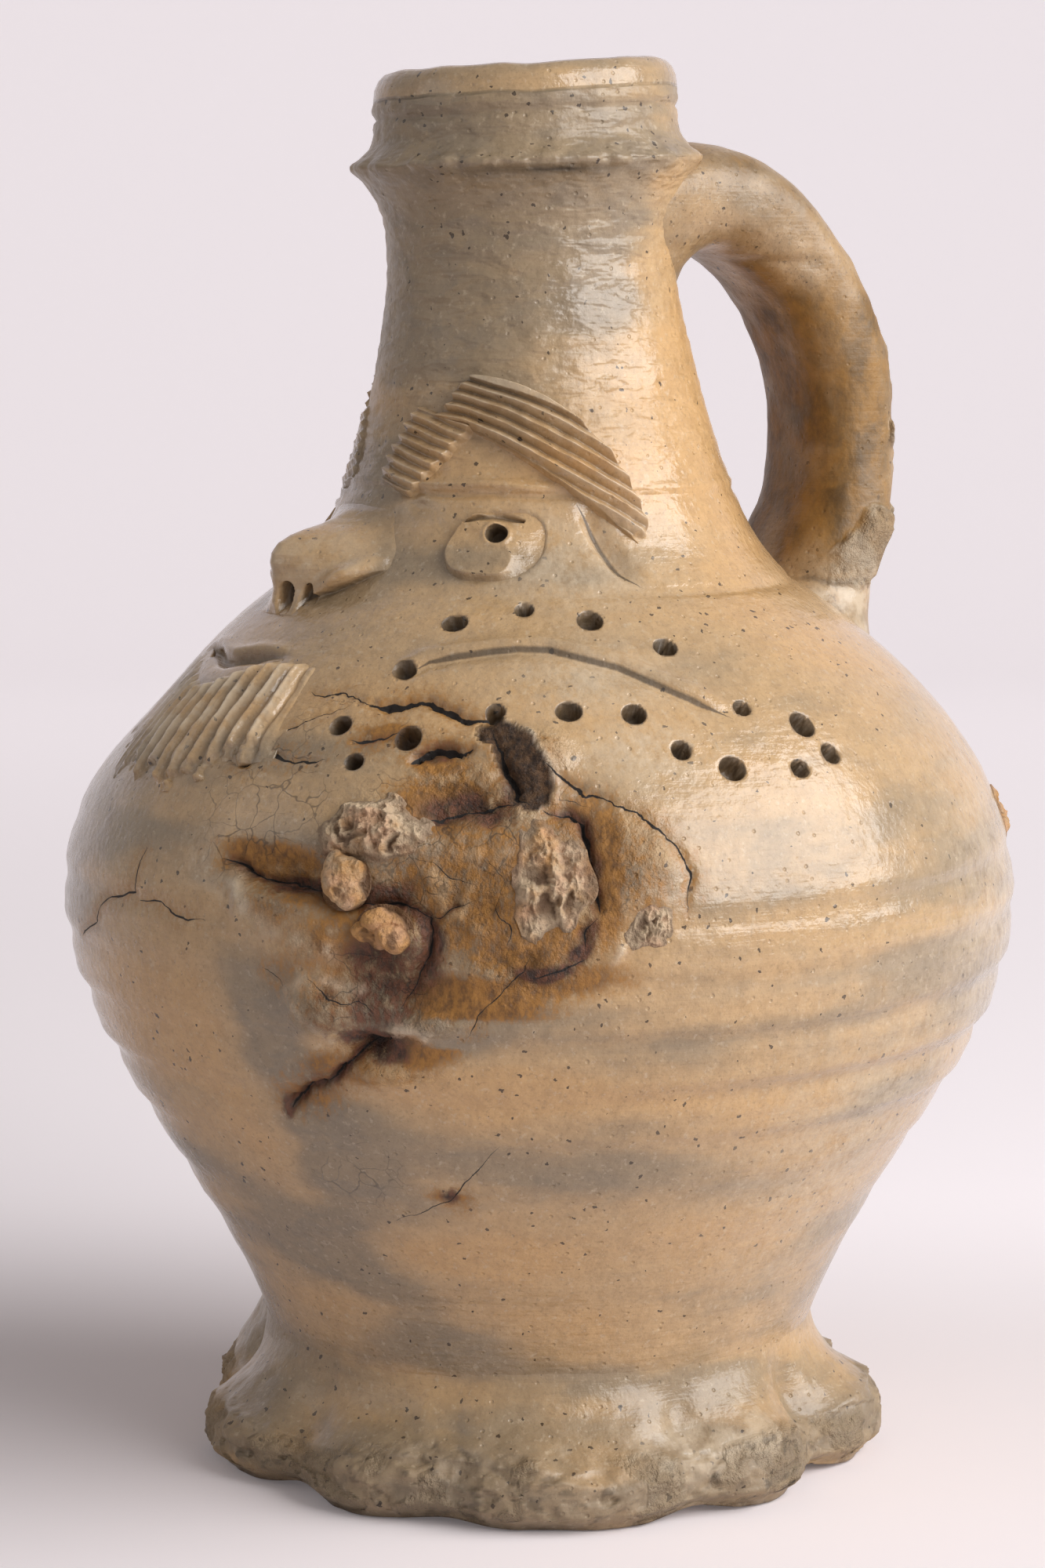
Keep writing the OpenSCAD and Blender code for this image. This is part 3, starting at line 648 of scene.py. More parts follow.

# %% [markdown]
# ## Stains of the burst
# Iron in the opened clay came out ochre, and the fire burnt the edges of the holes purple-black; the
# same purple also paints shade into some hollows and under the plate and a lump. Fine crazing covers the
# thin skin round about. Each share is the strongest of many soft spots; their places are shaken by noise
# so that no edge is round. One throwing ridge under the burst stopped the ochre, so it ends there in a
# sharp line.

# %% Stains
# Turn, height, half width, half height and share of each spot
OCHRE_SPOTS = [
    (29.5, 102.8, 9, 2.4, 1.0), (40.8, 92, 6, 4, 0.75), (36, 97.4, 7, 1.8, 0.7), (54.5, 100, 12, 8, 0.75),
    (52, 110.8, 9, 4, 0.95), (57, 105, 10, 5, 0.7), (69.9, 101.5, 2.6, 10, 1.0), (62, 93, 10, 5.5, 0.8),
    (54.5, 84.2, 11, 3.6, 1.0), (65, 87.6, 8, 3, 0.8), (47, 76.3, 6, 2.6, 0.9), (39, 72.2, 7, 2.6, 0.75),
    (33, 67.4, 4, 2.6, 0.7), (41.5, 120.2, 4, 1.6, 0.85), (49, 117, 5, 2.4, 0.8),
    (66.5, 110, 4.5, 3.5, 0.75), (50, 52, 4.5, 1.6, 0.7), (34, 93.5, 6, 3, 0.5), (37.5, 83, 5, 4, 0.45),
    (37, 88, 8, 5, 0.5), (73, 101, 5, 8, 0.5)]
# Some of these spots are painted shade: in the hollows, under the broken plate and under the third lump.
BURN_AND_SHADE_SPOTS = [
    (34, 99.7, 6.5, 1.7, 0.8), (46, 88, 6.8, 6.4, 0.75), (49.3, 94, 2.2, 4, 0.75),
    (44.5, 75.2, 3.6, 1.5, 0.9), (35.5, 70.3, 4, 1.4, 0.5), (54.5, 110.8, 8, 2.4, 0.7),
    (60.5, 114, 3.4, 3.4, 0.7), (68.2, 98, 1.5, 9, 0.6), (63, 88.3, 4.6, 1.0, 0.95),
    (67.2, 91.2, 2, 2, 0.8), (50.2, 52, 1.8, 0.8, 0.95), (29.4, 65.2, 1.5, 2, 0.7),
    (48.5, 118.3, 4, 1.0, 0.6), (45, 98.6, 6, 2.2, 0.65), (44, 82, 4.5, 3.6, 0.72),
    (39, 81, 5, 4, 0.42), (43.5, 77.2, 5, 2, 0.8)]
CRAZED_SPOTS = [
    (33, 116, 16, 9, 1), (54, 104, 14, 10, 1), (44, 84, 8, 8, 1), (24, 108, 9, 9, 1), (73, 104, 5, 7, 1),
    (36, 56, 9, 5, 1)]
OCHRE_STOP = 80.9


def strongest(theta, z, spots, gain=1.0, less=0.0):
    """The strongest of many soft spots: each patch is raised by a gain, held to 1 and given its share."""
    total = np.zeros(theta.shape)
    for at, up, wide, tall, share in spots:
        spot = np.clip(gain * patch(theta, z, at, up, wide, tall) - less, 0, 1)
        total = np.maximum(total, share * spot)
    return total


def stains_at(theta, z):
    """Shares of ochre, burnt purple that also paints some shade, and crazing at wall places."""
    p = at_wall(theta, z)
    th = theta + np.degrees(1.5 * rough(p, 7, 41, 3) / wall_radius(z))
    zz = z + 0.9 * rough(p, 6, 44, 3)
    stopped = ease(theta, 48, 51) * (1 - ease(theta, 70, 76))
    stopped = stopped * (1 - ease(z, OCHRE_STOP - 0.5, OCHRE_STOP + 0.5)) * ease(z, 76, 77)
    ochre = strongest(th, zz, OCHRE_SPOTS, 1.6) * (1 - stopped)
    return ochre, strongest(th, zz, BURN_AND_SHADE_SPOTS, 1.5, 0.05), strongest(th, zz, CRAZED_SPOTS)


print("ochre and burnt spots:", len(OCHRE_SPOTS), len(BURN_AND_SHADE_SPOTS))

# %% [markdown]
# ## Colour that follows the fire
# Salt glaze turns grey where the fire starved of air and orange-buff where it got some. On this
# jug the neck's lit side and the lower belly are warm in patches and bands, and the rest is grey.
# A number from 0 to 1 on every wall point says how warm it is; the shader adds the fine mottling. A
# few places are paler than the rest, partly as painted sheen and highlight, and two on the neck are glossier.

# %% Warm, grey, pale and shiny patches
WARM_PATCHES = [
    (118, 165, 26, 34, 0.6), (120, 128, 34, 22, 0.22), (10, 76, 24, 13, 0.85), (24, 60, 8, 9, 0.5),
    (56, 70, 16, 6.5, 0.85), (84, 67, 16, 6, 0.45), (104, 72, 22, 9, 0.1), (72, 119, 18, 8, 0.26),
    (70, 91, 10, 7, 0.45), (92, 103, 18, 9, 0.1), (52, 42, 15, 4.5, 0.85), (20, 31, 14, 5, 0.6),
    (90, 42, 20, 8, 0.2), (62, 30, 18, 4, 0.4), (38, 77, 5, 3, 0.4), (40, 128, 22, 9, 0.35),
    (38, 157, 12, 8, 0.35), (-100, 80, 50, 24, 0.6), (-150, 50, 40, 18, 0.55), (170, 60, 40, 14, 0.55),
    (-60, 120, 40, 16, 0.4), (-110, 170, 24, 22, 0.5)]
GREY_PATCHES = [
    (29, 78, 9, 10, 0.8), (33, 58, 11, 7, 0.75), (50, 77, 12, 4.5, 0.55), (73, 58, 16, 5, 0.25),
    (140, 80, 30, 25, 0.2), (27, 40, 14, 8, 0.6), (44, 26, 14, 5, 0.55), (30, 110, 12, 10, 0.1),
    (22, 180, 20, 30, 0.15), (40, 212, 30, 9, 0.3), (-20, 100, 20, 20, 0.4), (50, 184, 24, 28, 0.3),
    (66, 209, 26, 9, 0.25), (94, 186, 11, 18, 0.4)]
# Some of these pale patches are painted highlight and sheen.
PALE_AND_SHEEN_PATCHES = [
    (142, 88, 30, 34, 0.4), (-14, 108, 18, 14, 0.3), (70, 127.5, 12, 5, 0.35), (76, 118, 10, 5, 0.4),
    (72, 144, 14, 7, 0.35), (112, 58, 26, 24, 0.3)]
NECK_SHINES = [(86, 184, 10, 6), (96, 172, 9, 4)]


def warmth(theta, z):
    """Share of warm colour: a middling start, patches added and taken off, and drawn-out noise."""
    flat = round_axis(theta, wall_radius(np.clip(z, 0, 219)) / 30, z / 6.5)
    w = 0.3 + 0.24 * lump_noise(flat, 61) + 0.16 * lump_noise(flat * 2.3, 62)
    for sign, patches in ((1, WARM_PATCHES), (-1, GREY_PATCHES)):
        for at, up, wide, tall, share in patches:
            w = w + sign * share * patch(theta, z, at, up, wide, tall)
    return np.clip(w, 0, 1)


print("warm and grey patches:", len(WARM_PATCHES), len(GREY_PATCHES))

# %% [markdown]
# ## From arrays to meshes
# A surface here is a grid of points. Two neighbours in a row and two in the next make one face. A
# turned shape joins its last column to its first and draws its end rows together to single points.
# A pressed-on pad is two grids, its face and its back, sewn round the edge.

# %% Mesh builders
NO_TRIANGLES = np.zeros((0, 3), int)


def grid_faces(rows, cols, loop_rows, loop_cols):
    """Four-cornered faces of a grid, wrapped round where rows or columns close on themselves."""
    i = np.arange(rows if loop_rows else rows - 1)[:, None]
    j = np.arange(cols if loop_cols else cols - 1)[None, :]
    down, right = (i + 1) % rows, (j + 1) % cols
    faces = np.stack([i * cols + j, i * cols + right, down * cols + right, down * cols + j], -1)
    return faces.reshape(-1, 4)


def make_piece(name, points, quads, triangles, marks):
    """A smooth-shaded mesh object from points in mm, with one number per point for each mark."""
    mesh = bpy.data.meshes.new(name)
    mesh.from_pydata((points * MM).tolist(), [], quads.tolist() + triangles.tolist())
    mesh.polygons.foreach_set("use_smooth", np.ones(len(mesh.polygons), bool))
    for mark, values in marks.items():
        layer = mesh.attributes.new(mark, "FLOAT", "POINT")
        layer.data.foreach_set("value", np.ascontiguousarray(values, dtype=np.float32).ravel())
    mesh.update()
    mesh.validate()
    piece = bpy.data.objects.new(name, mesh)
    bpy.context.scene.collection.objects.link(piece)
    print(name, "faces", len(mesh.polygons))
    return piece


def turned_piece(name, grid, first, last, marks):
    """A closed shape: rows of a wrapped grid with a single point before the first and after the last."""
    rows, cols = grid.shape[:2]
    points = np.concatenate([grid.reshape(-1, 3), [first, last]])
    quads = grid_faces(rows, cols, False, True)
    j = np.arange(cols)
    k = (j + 1) % cols
    top = (rows - 1) * cols
    start = np.stack([np.full(cols, rows * cols), k, j], -1)
    end = np.stack([top + j, top + k, np.full(cols, rows * cols + 1)], -1)
    full = {m: np.concatenate([v.ravel(), [v[0, 0], v[-1, 0]]]) for m, v in marks.items()}
    return make_piece(name, points, quads, np.concatenate([start, end]), full)


def pad_piece(name, face, back, marks):
    """A closed pad: its face, its back turned over, and a strip of faces round the edge."""
    nu, nv = face.shape[:2]
    n = nu * nv
    points = np.concatenate([face.reshape(-1, 3), back.reshape(-1, 3)])
    front = grid_faces(nu, nv, False, False)[:, [0, 3, 2, 1]]
    rear = front[:, ::-1] + n
    idx = np.arange(n).reshape(nu, nv)
    rim = np.concatenate([idx[:, 0], idx[-1, 1:], idx[-2::-1, -1], idx[0, -2:0:-1]])
    nxt = np.roll(rim, -1)
    strip = np.stack([nxt, rim, rim + n, nxt + n], -1)
    full = {m: np.concatenate([v.ravel(), v.ravel()]) for m, v in marks.items()}
    return make_piece(name, points, np.concatenate([front, rear, strip]), NO_TRIANGLES, full)


# %% [markdown]
# ## The pot
# The thrown pot is one closed skin: from the middle of the underside out to the wall, up to the lip,
# over it and down inside. Its rows and columns stand closer together where the dots, lines and tears
# are, so that these are real shapes and not only paint.

# %% Rows and columns of the pot
def stretches(*parts):
    """Values from stretch to stretch, each with its own number of even steps."""
    return np.concatenate([np.linspace(a, b, n, endpoint=False) for a, b, n in parts])


pot_turns = stretches((-104, -32, 60), (-32, 18, 36), (18, 82, 156), (82, 106, 44), (106, 256, 38))
pot_heights = stretches(
    (0.7, 20, 6), (20, 62, 18), (62, 112, 74), (112, 138.6, 72), (138.6, 156, 30), (156, 172, 12),
    (172, 198, 22), (198, 203.4, 7), (203.4, 206.6, 8), (206.6, 212, 6), (212, LIP_FOOT, 7))
T, Z = np.meshgrid(pot_turns, pot_heights)
print("pot grid:", T.shape)

# %% [markdown]
# A punched hole is round and sharp-edged. Points near its edge are drawn towards the edge along the
# wall first, and then the ones inside are pushed in, so the wall of the hole is steep.

# %% Punch the dots
def punch_wall(theta, z, places, radius, deep):
    """Draws wall places towards each hole's edge; returns the new places, the depth and a share of painted
    shade in the hole.
    """
    theta, z = theta.copy(), z.copy()
    depth = np.zeros(theta.shape)
    dark = np.zeros(theta.shape)
    for k, (at, up) in enumerate(places):
        r = float(wall_radius(up))
        slope = float(np.hypot(1, wall_lean(np.array(up))))
        dx = r * np.radians(turn_gap(theta, at))
        dy = (z - up) * slope
        edge = radius * (0.9 + 0.16 * math.sin(2.3 * k))
        d = np.hypot(dx, dy * (1 + 0.1 * math.sin(1.7 * k)))
        reach = 0.8 * edge
        off = np.clip((d - edge) / reach, -1, 1)
        pulled = edge + reach * off * np.abs(off) ** 0.8
        scale = np.where(np.abs(off) < 1, pulled / np.maximum(d, 1e-6), 1)
        theta = theta + np.degrees(dx * (scale - 1) / r)
        z = z + dy * (scale - 1) / slope
        d = np.where(np.abs(off) < 1, pulled, d)
        depth = np.maximum(depth, deep * (1 - ease(d, 0.82 * edge, 1.02 * edge)))
        depth = depth - 0.16 * bell(d - 1.22 * edge, 0.35)
        # Painted shade: the hole and its steep wall are coloured dark.
        dark = np.maximum(dark, 1 - ease(d, edge, 1.1 * edge))
    return theta, z, depth, dark


T, Z, dot_depth, dot_shade = punch_wall(T, Z, ALL_HOLES, DOT_RADIUS, DOT_DEEP)
print("deepest hole, mm:", round(float(dot_depth.max()), 2))

# %% [markdown]
# Throwing, carving and the burst add up to one height over the smooth wall. The thin cordon under the
# lip is chipped, and one hole at the foot of the burst goes deeper than the rest.

# %% Relief of the outer wall
CORDON = 204.4


def pot_relief(theta, z):
    """Everything that moves the outer wall, each set's tears, and the burst's shares for the shader."""
    near, width, depth, burn = tears_at(theta, z)
    ground, inside, grain = burst_ground(theta, z)
    plate = plate_share(theta, z)
    curl, pale = lips_at(theta, z)
    p = at_wall(theta, z)
    hole = bell(from_spot(theta, z, *BLACK_HOLE), 1.5)
    chipped = -0.4 + 0.7 * rough(p * np.array([1, 1, 0.2]), 3.4, 83, 3)
    relief = thrown(theta, z) + carved(theta, z) + ground - depth + curl
    relief += plate * (-1.0 + 0.8 * rough(p, 2.6, 81, 3))
    relief -= 2.5 * hole + 1.4 * eye_bed(theta, z)
    relief += chipped * bell(z - CORDON, 1.4) + 0.05 * rough(p, 1.5, 85, 2)
    shares = {"inside": inside, "grain": grain, "plate": plate, "hole": hole, "burn": burn, "pale": pale}
    return np.maximum(relief, DEEPEST), near, width, shares


relief, near, width, burst = pot_relief(T, Z)
print("relief, mm:", round(float(relief.min()), 2), "to", round(float(relief.max()), 2))

# %% [markdown]
# The lip was cut by a wire by hand, so its height wanders. Inside, the pot has a plain wall of even
# thickness, a rounded corner and a flat floor.

# %% Wall, lip, inside and underside
LIP_HIGH = 4.0
LIP_RADIUS = 23.6
MOUTH_RADIUS = 18.3
NECK_FOOT, NECK_THIN = 138.5, 190
WALL_THICK = 5
FLOOR_HIGH = 7.0
FLOOR_ROUND = 10
UNDER_RADII = np.array([14, 28, 37.5, 39.7])[:, None]
FLOOR_RADII = np.array([18.0, 9.0])[:, None]


def level_ring(theta, size):
    """Points of a level ring for noise that runs round the pot."""
    a = np.radians(theta)
    return np.stack([np.sin(a) * size, np.cos(a) * size, 0 * a], -1)


def lip_drop(theta):
    """How far the lip lies under its highest place, which is over the handle's near side."""
    ring = level_ring(theta, 1.5)
    drop = 0.35 + 0.3 * lump_noise(ring, 71) + 0.2 * lump_noise(ring * 3.1, 72)
    return np.clip(drop - 0.4 * bell(turn_gap(theta, 118), 22), 0, 2)


def round_rows(r, z):
    """Rows of the pot at given radii and heights, sagging like the wall."""
    return settle(round_axis(pot_turns[None, :], r, z))


def inner_radius(z):
    """Radius inside: the wall less its thickness, rounded at the floor; straight in the mouth."""
    thick = WALL_THICK * np.clip(np.hypot(1, wall_lean(z)), 1, 1.3)
    thinner = np.clip((z - NECK_FOOT) / (NECK_THIN - NECK_FOOT), 0, 1)
    below = np.maximum(0, FLOOR_HIGH + FLOOR_ROUND - z)
    rounding = FLOOR_ROUND - np.sqrt(np.maximum(0, FLOOR_ROUND**2 - below**2))
    return np.where(z >= NECK_THIN, MOUTH_RADIUS, wall_radius(z) - thick + thinner - rounding)


wall = on_wall(T, Z, relief - dot_depth)
wall[..., 2] -= ease(Z, 207, LIP_FOOT) * lip_drop(T)
wall[..., :2] *= np.minimum(1, WIDEST / np.hypot(wall[..., 0], wall[..., 1]))[..., None]
lip_a = np.radians(np.linspace(0, 180, 9))[:, None]
lip_r = (LIP_RADIUS + MOUTH_RADIUS) / 2 + (LIP_RADIUS - MOUTH_RADIUS) / 2 * np.cos(lip_a)
lip_z = LIP_FOOT + LIP_HIGH * np.sin(lip_a) - lip_drop(pot_turns[None, :])
inner_z = [np.linspace(212, NECK_THIN, 4), np.linspace(180, 18, 12), [13, 9.5, 7.6, FLOOR_HIGH]]
inner_z = np.concatenate(inner_z)[:, None]
under = round_rows(UNDER_RADII, 0 * UNDER_RADII)
floor_in = round_rows(FLOOR_RADII, FLOOR_HIGH + 0 * FLOOR_RADII)
inside_rows = round_rows(inner_radius(inner_z), inner_z)
pot_grid = np.concatenate([under, wall, round_rows(lip_r, lip_z), inside_rows, floor_in])
print("rows of the whole pot:", len(pot_grid))

# %% [markdown]
# The shader needs numbers on the points: how warm, stained, burnt, pale and dull each place is, and how much
# soot and painted shade it has.
# They are worked out on the outer wall, and the underside, lip and inside get one plain value each.

# %% Marks on the pot
CRUST_SPOT = (38.4, 81.6, 6, 4.4)
CORDON_UNDER = 202.6
ELSEWHERE = {"warm": 0.3, "cut": FAR_OFF}

ochre, burnt, craze = stains_at(T, Z)
ochre = np.maximum(ochre, 0.9 * burst["burn"] ** 0.38 * (burst["burn"] > 0.02))
ochre = np.maximum(ochre, 0.4 * ease(burst["inside"], 0.15, 0.6))
burnt = np.maximum(burnt, 0.95 * burst["burn"])
neck_dull = 0.5 * ease(Z, 150, 165)
for place in NECK_SHINES:
    neck_dull = neck_dull * (1 - 0.8 * patch(T, Z, *place))
matte = np.max([1.3 * burst["inside"], ochre, burnt, burst["plate"], neck_dull], axis=0)
# Painted shade: in the punched holes, in a line under the cordon, in the lid cut and the mouth, and in the
# deep hole at the foot of the burst.
shade_under_cordon = bell(Z - CORDON_UNDER, 0.8) * (0.1 + 0.8 * patch(T, Z, 72, CORDON_UNDER, 9, 3))
soot_and_shade = np.max([0.84 * dot_shade, shade_under_cordon, cut_shade(T, Z), ease(burst["hole"], 0.3, 0.6)], axis=0)
wall_marks = {
    "warm": warmth(T, Z), "ochre": ochre, "burnt": burnt, "soot_and_shade": soot_and_shade, "craze": craze,
    "matte": np.clip(matte, 0, 1), "pale": np.maximum(burst["pale"], strongest(T, Z, PALE_AND_SHEEN_PATCHES)),
    "grey": 0.25 * np.clip(1.8 * patch(T, Z, *CRUST_SPOT) - 0.2, 0, 1),
    "plate": burst["plate"], "grain": burst["grain"], "cut": cut_gap(T, Z),
    "ripple": 0.08 + ease(Z, 148, 164),
    "grit": np.clip(np.maximum(burst["inside"], burst["plate"]), 0, 1)}
for group in range(TEAR_SETS):
    wall_marks["tear_%d" % group] = near[group]
    wall_marks["tear_wide_%d" % group] = width[group]
    ELSEWHERE["tear_%d" % group] = FAR_OFF
    ELSEWHERE["tear_wide_%d" % group] = NO_WIDTH


def over_all(values, fill):
    """A mark of the outer wall, with one value on the rows before and after it."""
    after = len(pot_grid) - len(under) - len(values)
    return np.pad(values, ((len(under), after), (0, 0)), constant_values=fill)


pot_marks = {m: over_all(v, ELSEWHERE.get(m, 0)) for m, v in wall_marks.items()}
pot = turned_piece("thrown_pot", pot_grid, (0, 0, 0), (0, 0, FLOOR_HIGH), pot_marks)

# %% [markdown]
# ## Standing on the wall
# A pressed-on piece follows the wall under it. Its back lies a little inside the wall, and its face
# rises over the wall by a height that runs to nothing at edges the potter smeared down.

# %% Ground under pressed-on pieces
SUNK = -0.9


def seat(theta, z, out):
    """Points over the thrown and sunken wall, without its fine carving, moved out by a height."""
    ground = burst_ground(theta, z)[0] + thrown(theta, z)
    return on_wall(theta, z, ground + out)


def unit_grid(nu, nv):
    """Two arrays of shares from 0 to 1 along and across a pad."""
    return np.meshgrid(np.linspace(0, 1, nu), np.linspace(0, 1, nv), indexing="ij")


def pressed_pad(name, theta, z, out, marks, side=1):
    """A pad at given turns and heights on the wall; side -1 mirrors it to the other half of the mask."""
    if side < 0:
        theta, z, out = -theta[::-1], z[::-1], out[::-1]
        marks = {m: v[::-1] for m, v in marks.items()}
    marks = dict(marks, warm=warmth(theta, z) + 0.1 * ease(out, 0.3, 1.2))
    return pad_piece(name, seat(theta, z, out), seat(theta, z, np.minimum(SUNK, out - 0.5)), marks)


print("backs lie inside the wall by, mm:", -SUNK)

# %% [markdown]
# ## Combed brows
# Each brow is two dabs of clay scored with a comb: a short one by the nose, and a long one that arches
# over the eye and falls to the temple. The comb was drawn straighter than the arch, so its furrows run
# out at the arch's edges. Its teeth left broad furrows between sharp crests.

# %% Combing
def crested(c):
    """Broad furrows between sharp crests: 0 where c is whole, 1 halfway between."""
    f = c - np.floor(c)
    return (1 - np.abs(2 * f - 1)) ** 1.15


def combed(v, teeth, wander):
    """Round ridges with narrower furrows across a pad: from 0 in a furrow to 1 on a ridge."""
    return 0.5 - 0.5 * np.cos(2 * np.pi * (teeth * v + wander))


def cubic(points, t):
    """Points on the cubic curve that four controls draw."""
    w = np.stack([(1 - t) ** 3, 3 * t * (1 - t) ** 2, 3 * t**2 * (1 - t), t**3], -1)
    return w @ points


def edge_of(x, low, high):
    """0 at both ends of a share, 1 between, with its own easing width at each end."""
    return ease(x, 0, low) * ease(1 - x, 0, high)


def comb_marks(body, crest, shade_share):
    """Painted shade in the furrows and a painted highlight on the crests."""
    return {"soot_and_shade": body * shade_share * (1 - crest) ** 2, "pale": 0.55 * body * crest**2}


print("crest at half a furrow:", float(crested(np.array(0.5))))

# %% [markdown]
# The long brow is a strip between two cubics. Its topmost and lowest bands were not combed. The front
# brow is a leaning, four-sided dab. The far side's dabs are pressed flatter.

# %% Brows
BROW_HIGH = 2.1
EDGE_SUNK = 0.35
BROW_TOP = np.array([(38.2, 170.8), (62, 171.7), (92.4, 162.5), (91.6, 147)])
BROW_UNDER = np.array([(27.4, 164.2), (45, 162), (62, 159), (89.5, 144.8)])


def brow_furrows(theta, z):
    """Which furrow of the comb a place lies in: lines that fall ever steeper, and spread to the right."""
    x = theta - 36
    line = 168.2 - 0.082 * x - 0.0028 * x**2
    return 2 + (line - z) / (1.7 + 0.75 * ease(theta, 36, 75))


def long_brow(name, side, seed, high):
    """A strip between two cubics, combed straighter than it bends, with torn ends."""
    u, v = unit_grid(190, 120)
    place = cubic(BROW_UNDER, u) * (1 - v)[..., None] + cubic(BROW_TOP, u) * v[..., None]
    theta, z = place[..., 0], place[..., 1]
    p = at_wall(theta, z)
    c = brow_furrows(theta, z) + 0.12 * lump_noise(p / 5, seed)
    crest = np.where(c < 0.75, 0.8, crested(c))
    crest = np.where(c > 6.6, 0.85, crest)
    body = edge_of(u + 0.03 * lump_noise(p / 1.4, seed + 1), 0.04, 0.04) * edge_of(v, 0.05, 0.07)
    rise = high * (1 - 0.35 * ease(u, 0.7, 1)) * (0.35 + 0.65 * crest)
    out = body * (rise + 0.12 * rough(p, 1.4, seed + 2, 2)) - EDGE_SUNK * (1 - body)
    return pressed_pad(name, theta, z, out, comb_marks(body, crest, 0.42), side)


def front_brow(name, side, seed, high):
    """A leaning four-sided dab, combed across, with torn ends."""
    u, v = unit_grid(120, 120)
    left_t, left_z = 10 + 10 * v**1.6, 154.4 + 11.9 * v
    theta = left_t + u * (22.8 + 20.5 * v - left_t)
    z = left_z + u * (152.2 + 11 * v - left_z)
    p = at_wall(theta, z)
    crest = crested(1 + (165.5 - 0.17 * (theta - 20) - z) / 1.95 + 0.1 * lump_noise(p / 3, seed))
    body = edge_of(u + 0.03 * lump_noise(p / 1.2, seed + 1), 0.08, 0.08) * edge_of(v, 0.06, 0.06)
    rise = high * (0.45 + 0.5 * crest)
    out = body * (rise + 0.15 * rough(p, 1.3, seed + 2, 2)) - EDGE_SUNK * (1 - body)
    return pressed_pad(name, theta, z, out, comb_marks(body, crest, 0.34), side)


brow_left_long = long_brow("combed_brow_left_long", 1, 101, BROW_HIGH)
brow_right_long = long_brow("combed_brow_right_long", -1, 111, 0.45 * BROW_HIGH)
brow_left_front = front_brow("combed_brow_left_front", 1, 121, BROW_HIGH)
brow_right_front = front_brow("combed_brow_right_front", -1, 131, 0.4 * BROW_HIGH)

# %% [markdown]
# ## Eyes
# An eye is a flat pellet pressed on beside the nose. Its lower and nose-side edges stay crisp; the
# outer and upper ones are smeared into the wall. A stick punched the pupil, and a nail cut a lid.

# %% Eye pellets
PUPIL_RADIUS, PUPIL_DEEP = 1.8, 3.2
EYE_HIGH = 1.25
LID_DEEP = 1.1


def eye_pellet(name, side, seed):
    """A rounded square with a crisp lower edge, a punched pupil and a lid cut over it."""
    u, v = unit_grid(130, 110)
    x, y = 2 * u - 1, 2 * v - 1
    theta, z = EYE_AT + EYE_HALF_TURN * x, EYE_UP + EYE_HALF_TALL * y
    theta, z, pit, dark = punch_wall(theta, z, [PUPIL], PUPIL_RADIUS, PUPIL_DEEP)
    p = at_wall(theta, z)
    slant = x - EYE_SLANT * y
    toward = np.clip((-slant - 0.5 * y) / np.maximum(np.hypot(slant, y), 1e-6), -1, 1)
    soft = 0.88 - 0.8 * ease(toward, -0.7, 0.35)
    body = 1 - ease(rounded_square(slant, y) + 0.02 * lump_noise(p / 1.5, seed), 0.95 - soft, 0.96)
    d, along, over, length = from_line(theta, z, LID_LINE)
    lid = bell(d, 0.2 + 0.45 * np.sin(np.pi * along / length)) * (over < 0.05)
    out = body * (EYE_HIGH + 0.12 * rough(p, 3, seed + 1, 2)) - EDGE_SUNK * (1 - body)
    out = out - LID_DEEP * lid * np.maximum(body, 0.75) - pit
    # The pupil and the lid cut are painted dark as shade.
    marks = {"soot_and_shade": np.maximum(0.88 * dark, 0.85 * lid), "matte": 0.3 + 0 * lid}
    return pressed_pad(name, theta, z, out, marks, side)


eye_left = eye_pellet("eye_pellet_left", 1, 141)
eye_right = eye_pellet("eye_pellet_right", -1, 151)

# %% [markdown]
# ## Nose
# The nose is a pinched lump. Seen from the side it runs out as a shelf from the bridge to a round tip and
# drops straight to the lip. Seen from above it is a tent with hollow sides. Two wings stand out at its
# foot, each with an undercut lower edge, and two holes were pushed in under the tip.

# %% Form of the nose
NOSE_OUT = 10.6
NOSE_LOW, NOSE_TALL, NOSE_REACH = 134.3, 17.4, 16
# Height, and the share of the full reach there
NOSE_SIDE = np.array([
    (134.5, 0), (136, 0.2), (138, 0.44), (140.2, 0.7), (142.3, 0.91), (143.8, 1), (145.4, 0.99),
    (146.5, 0.87), (147.3, 0.7), (148.1, 0.44), (149, 0.26), (150.5, 0.1), (151.6, 0)])
# Height, and the half width of the tent there
NOSE_HALF = np.array([(134.5, 6), (136, 8), (138.7, 12), (141.7, 15.5), (145, 14), (148, 11.5), (151.5, 9)])
WING_AT, WING_HIGH = 10.2, 2.5
BRIM_FROM = 6


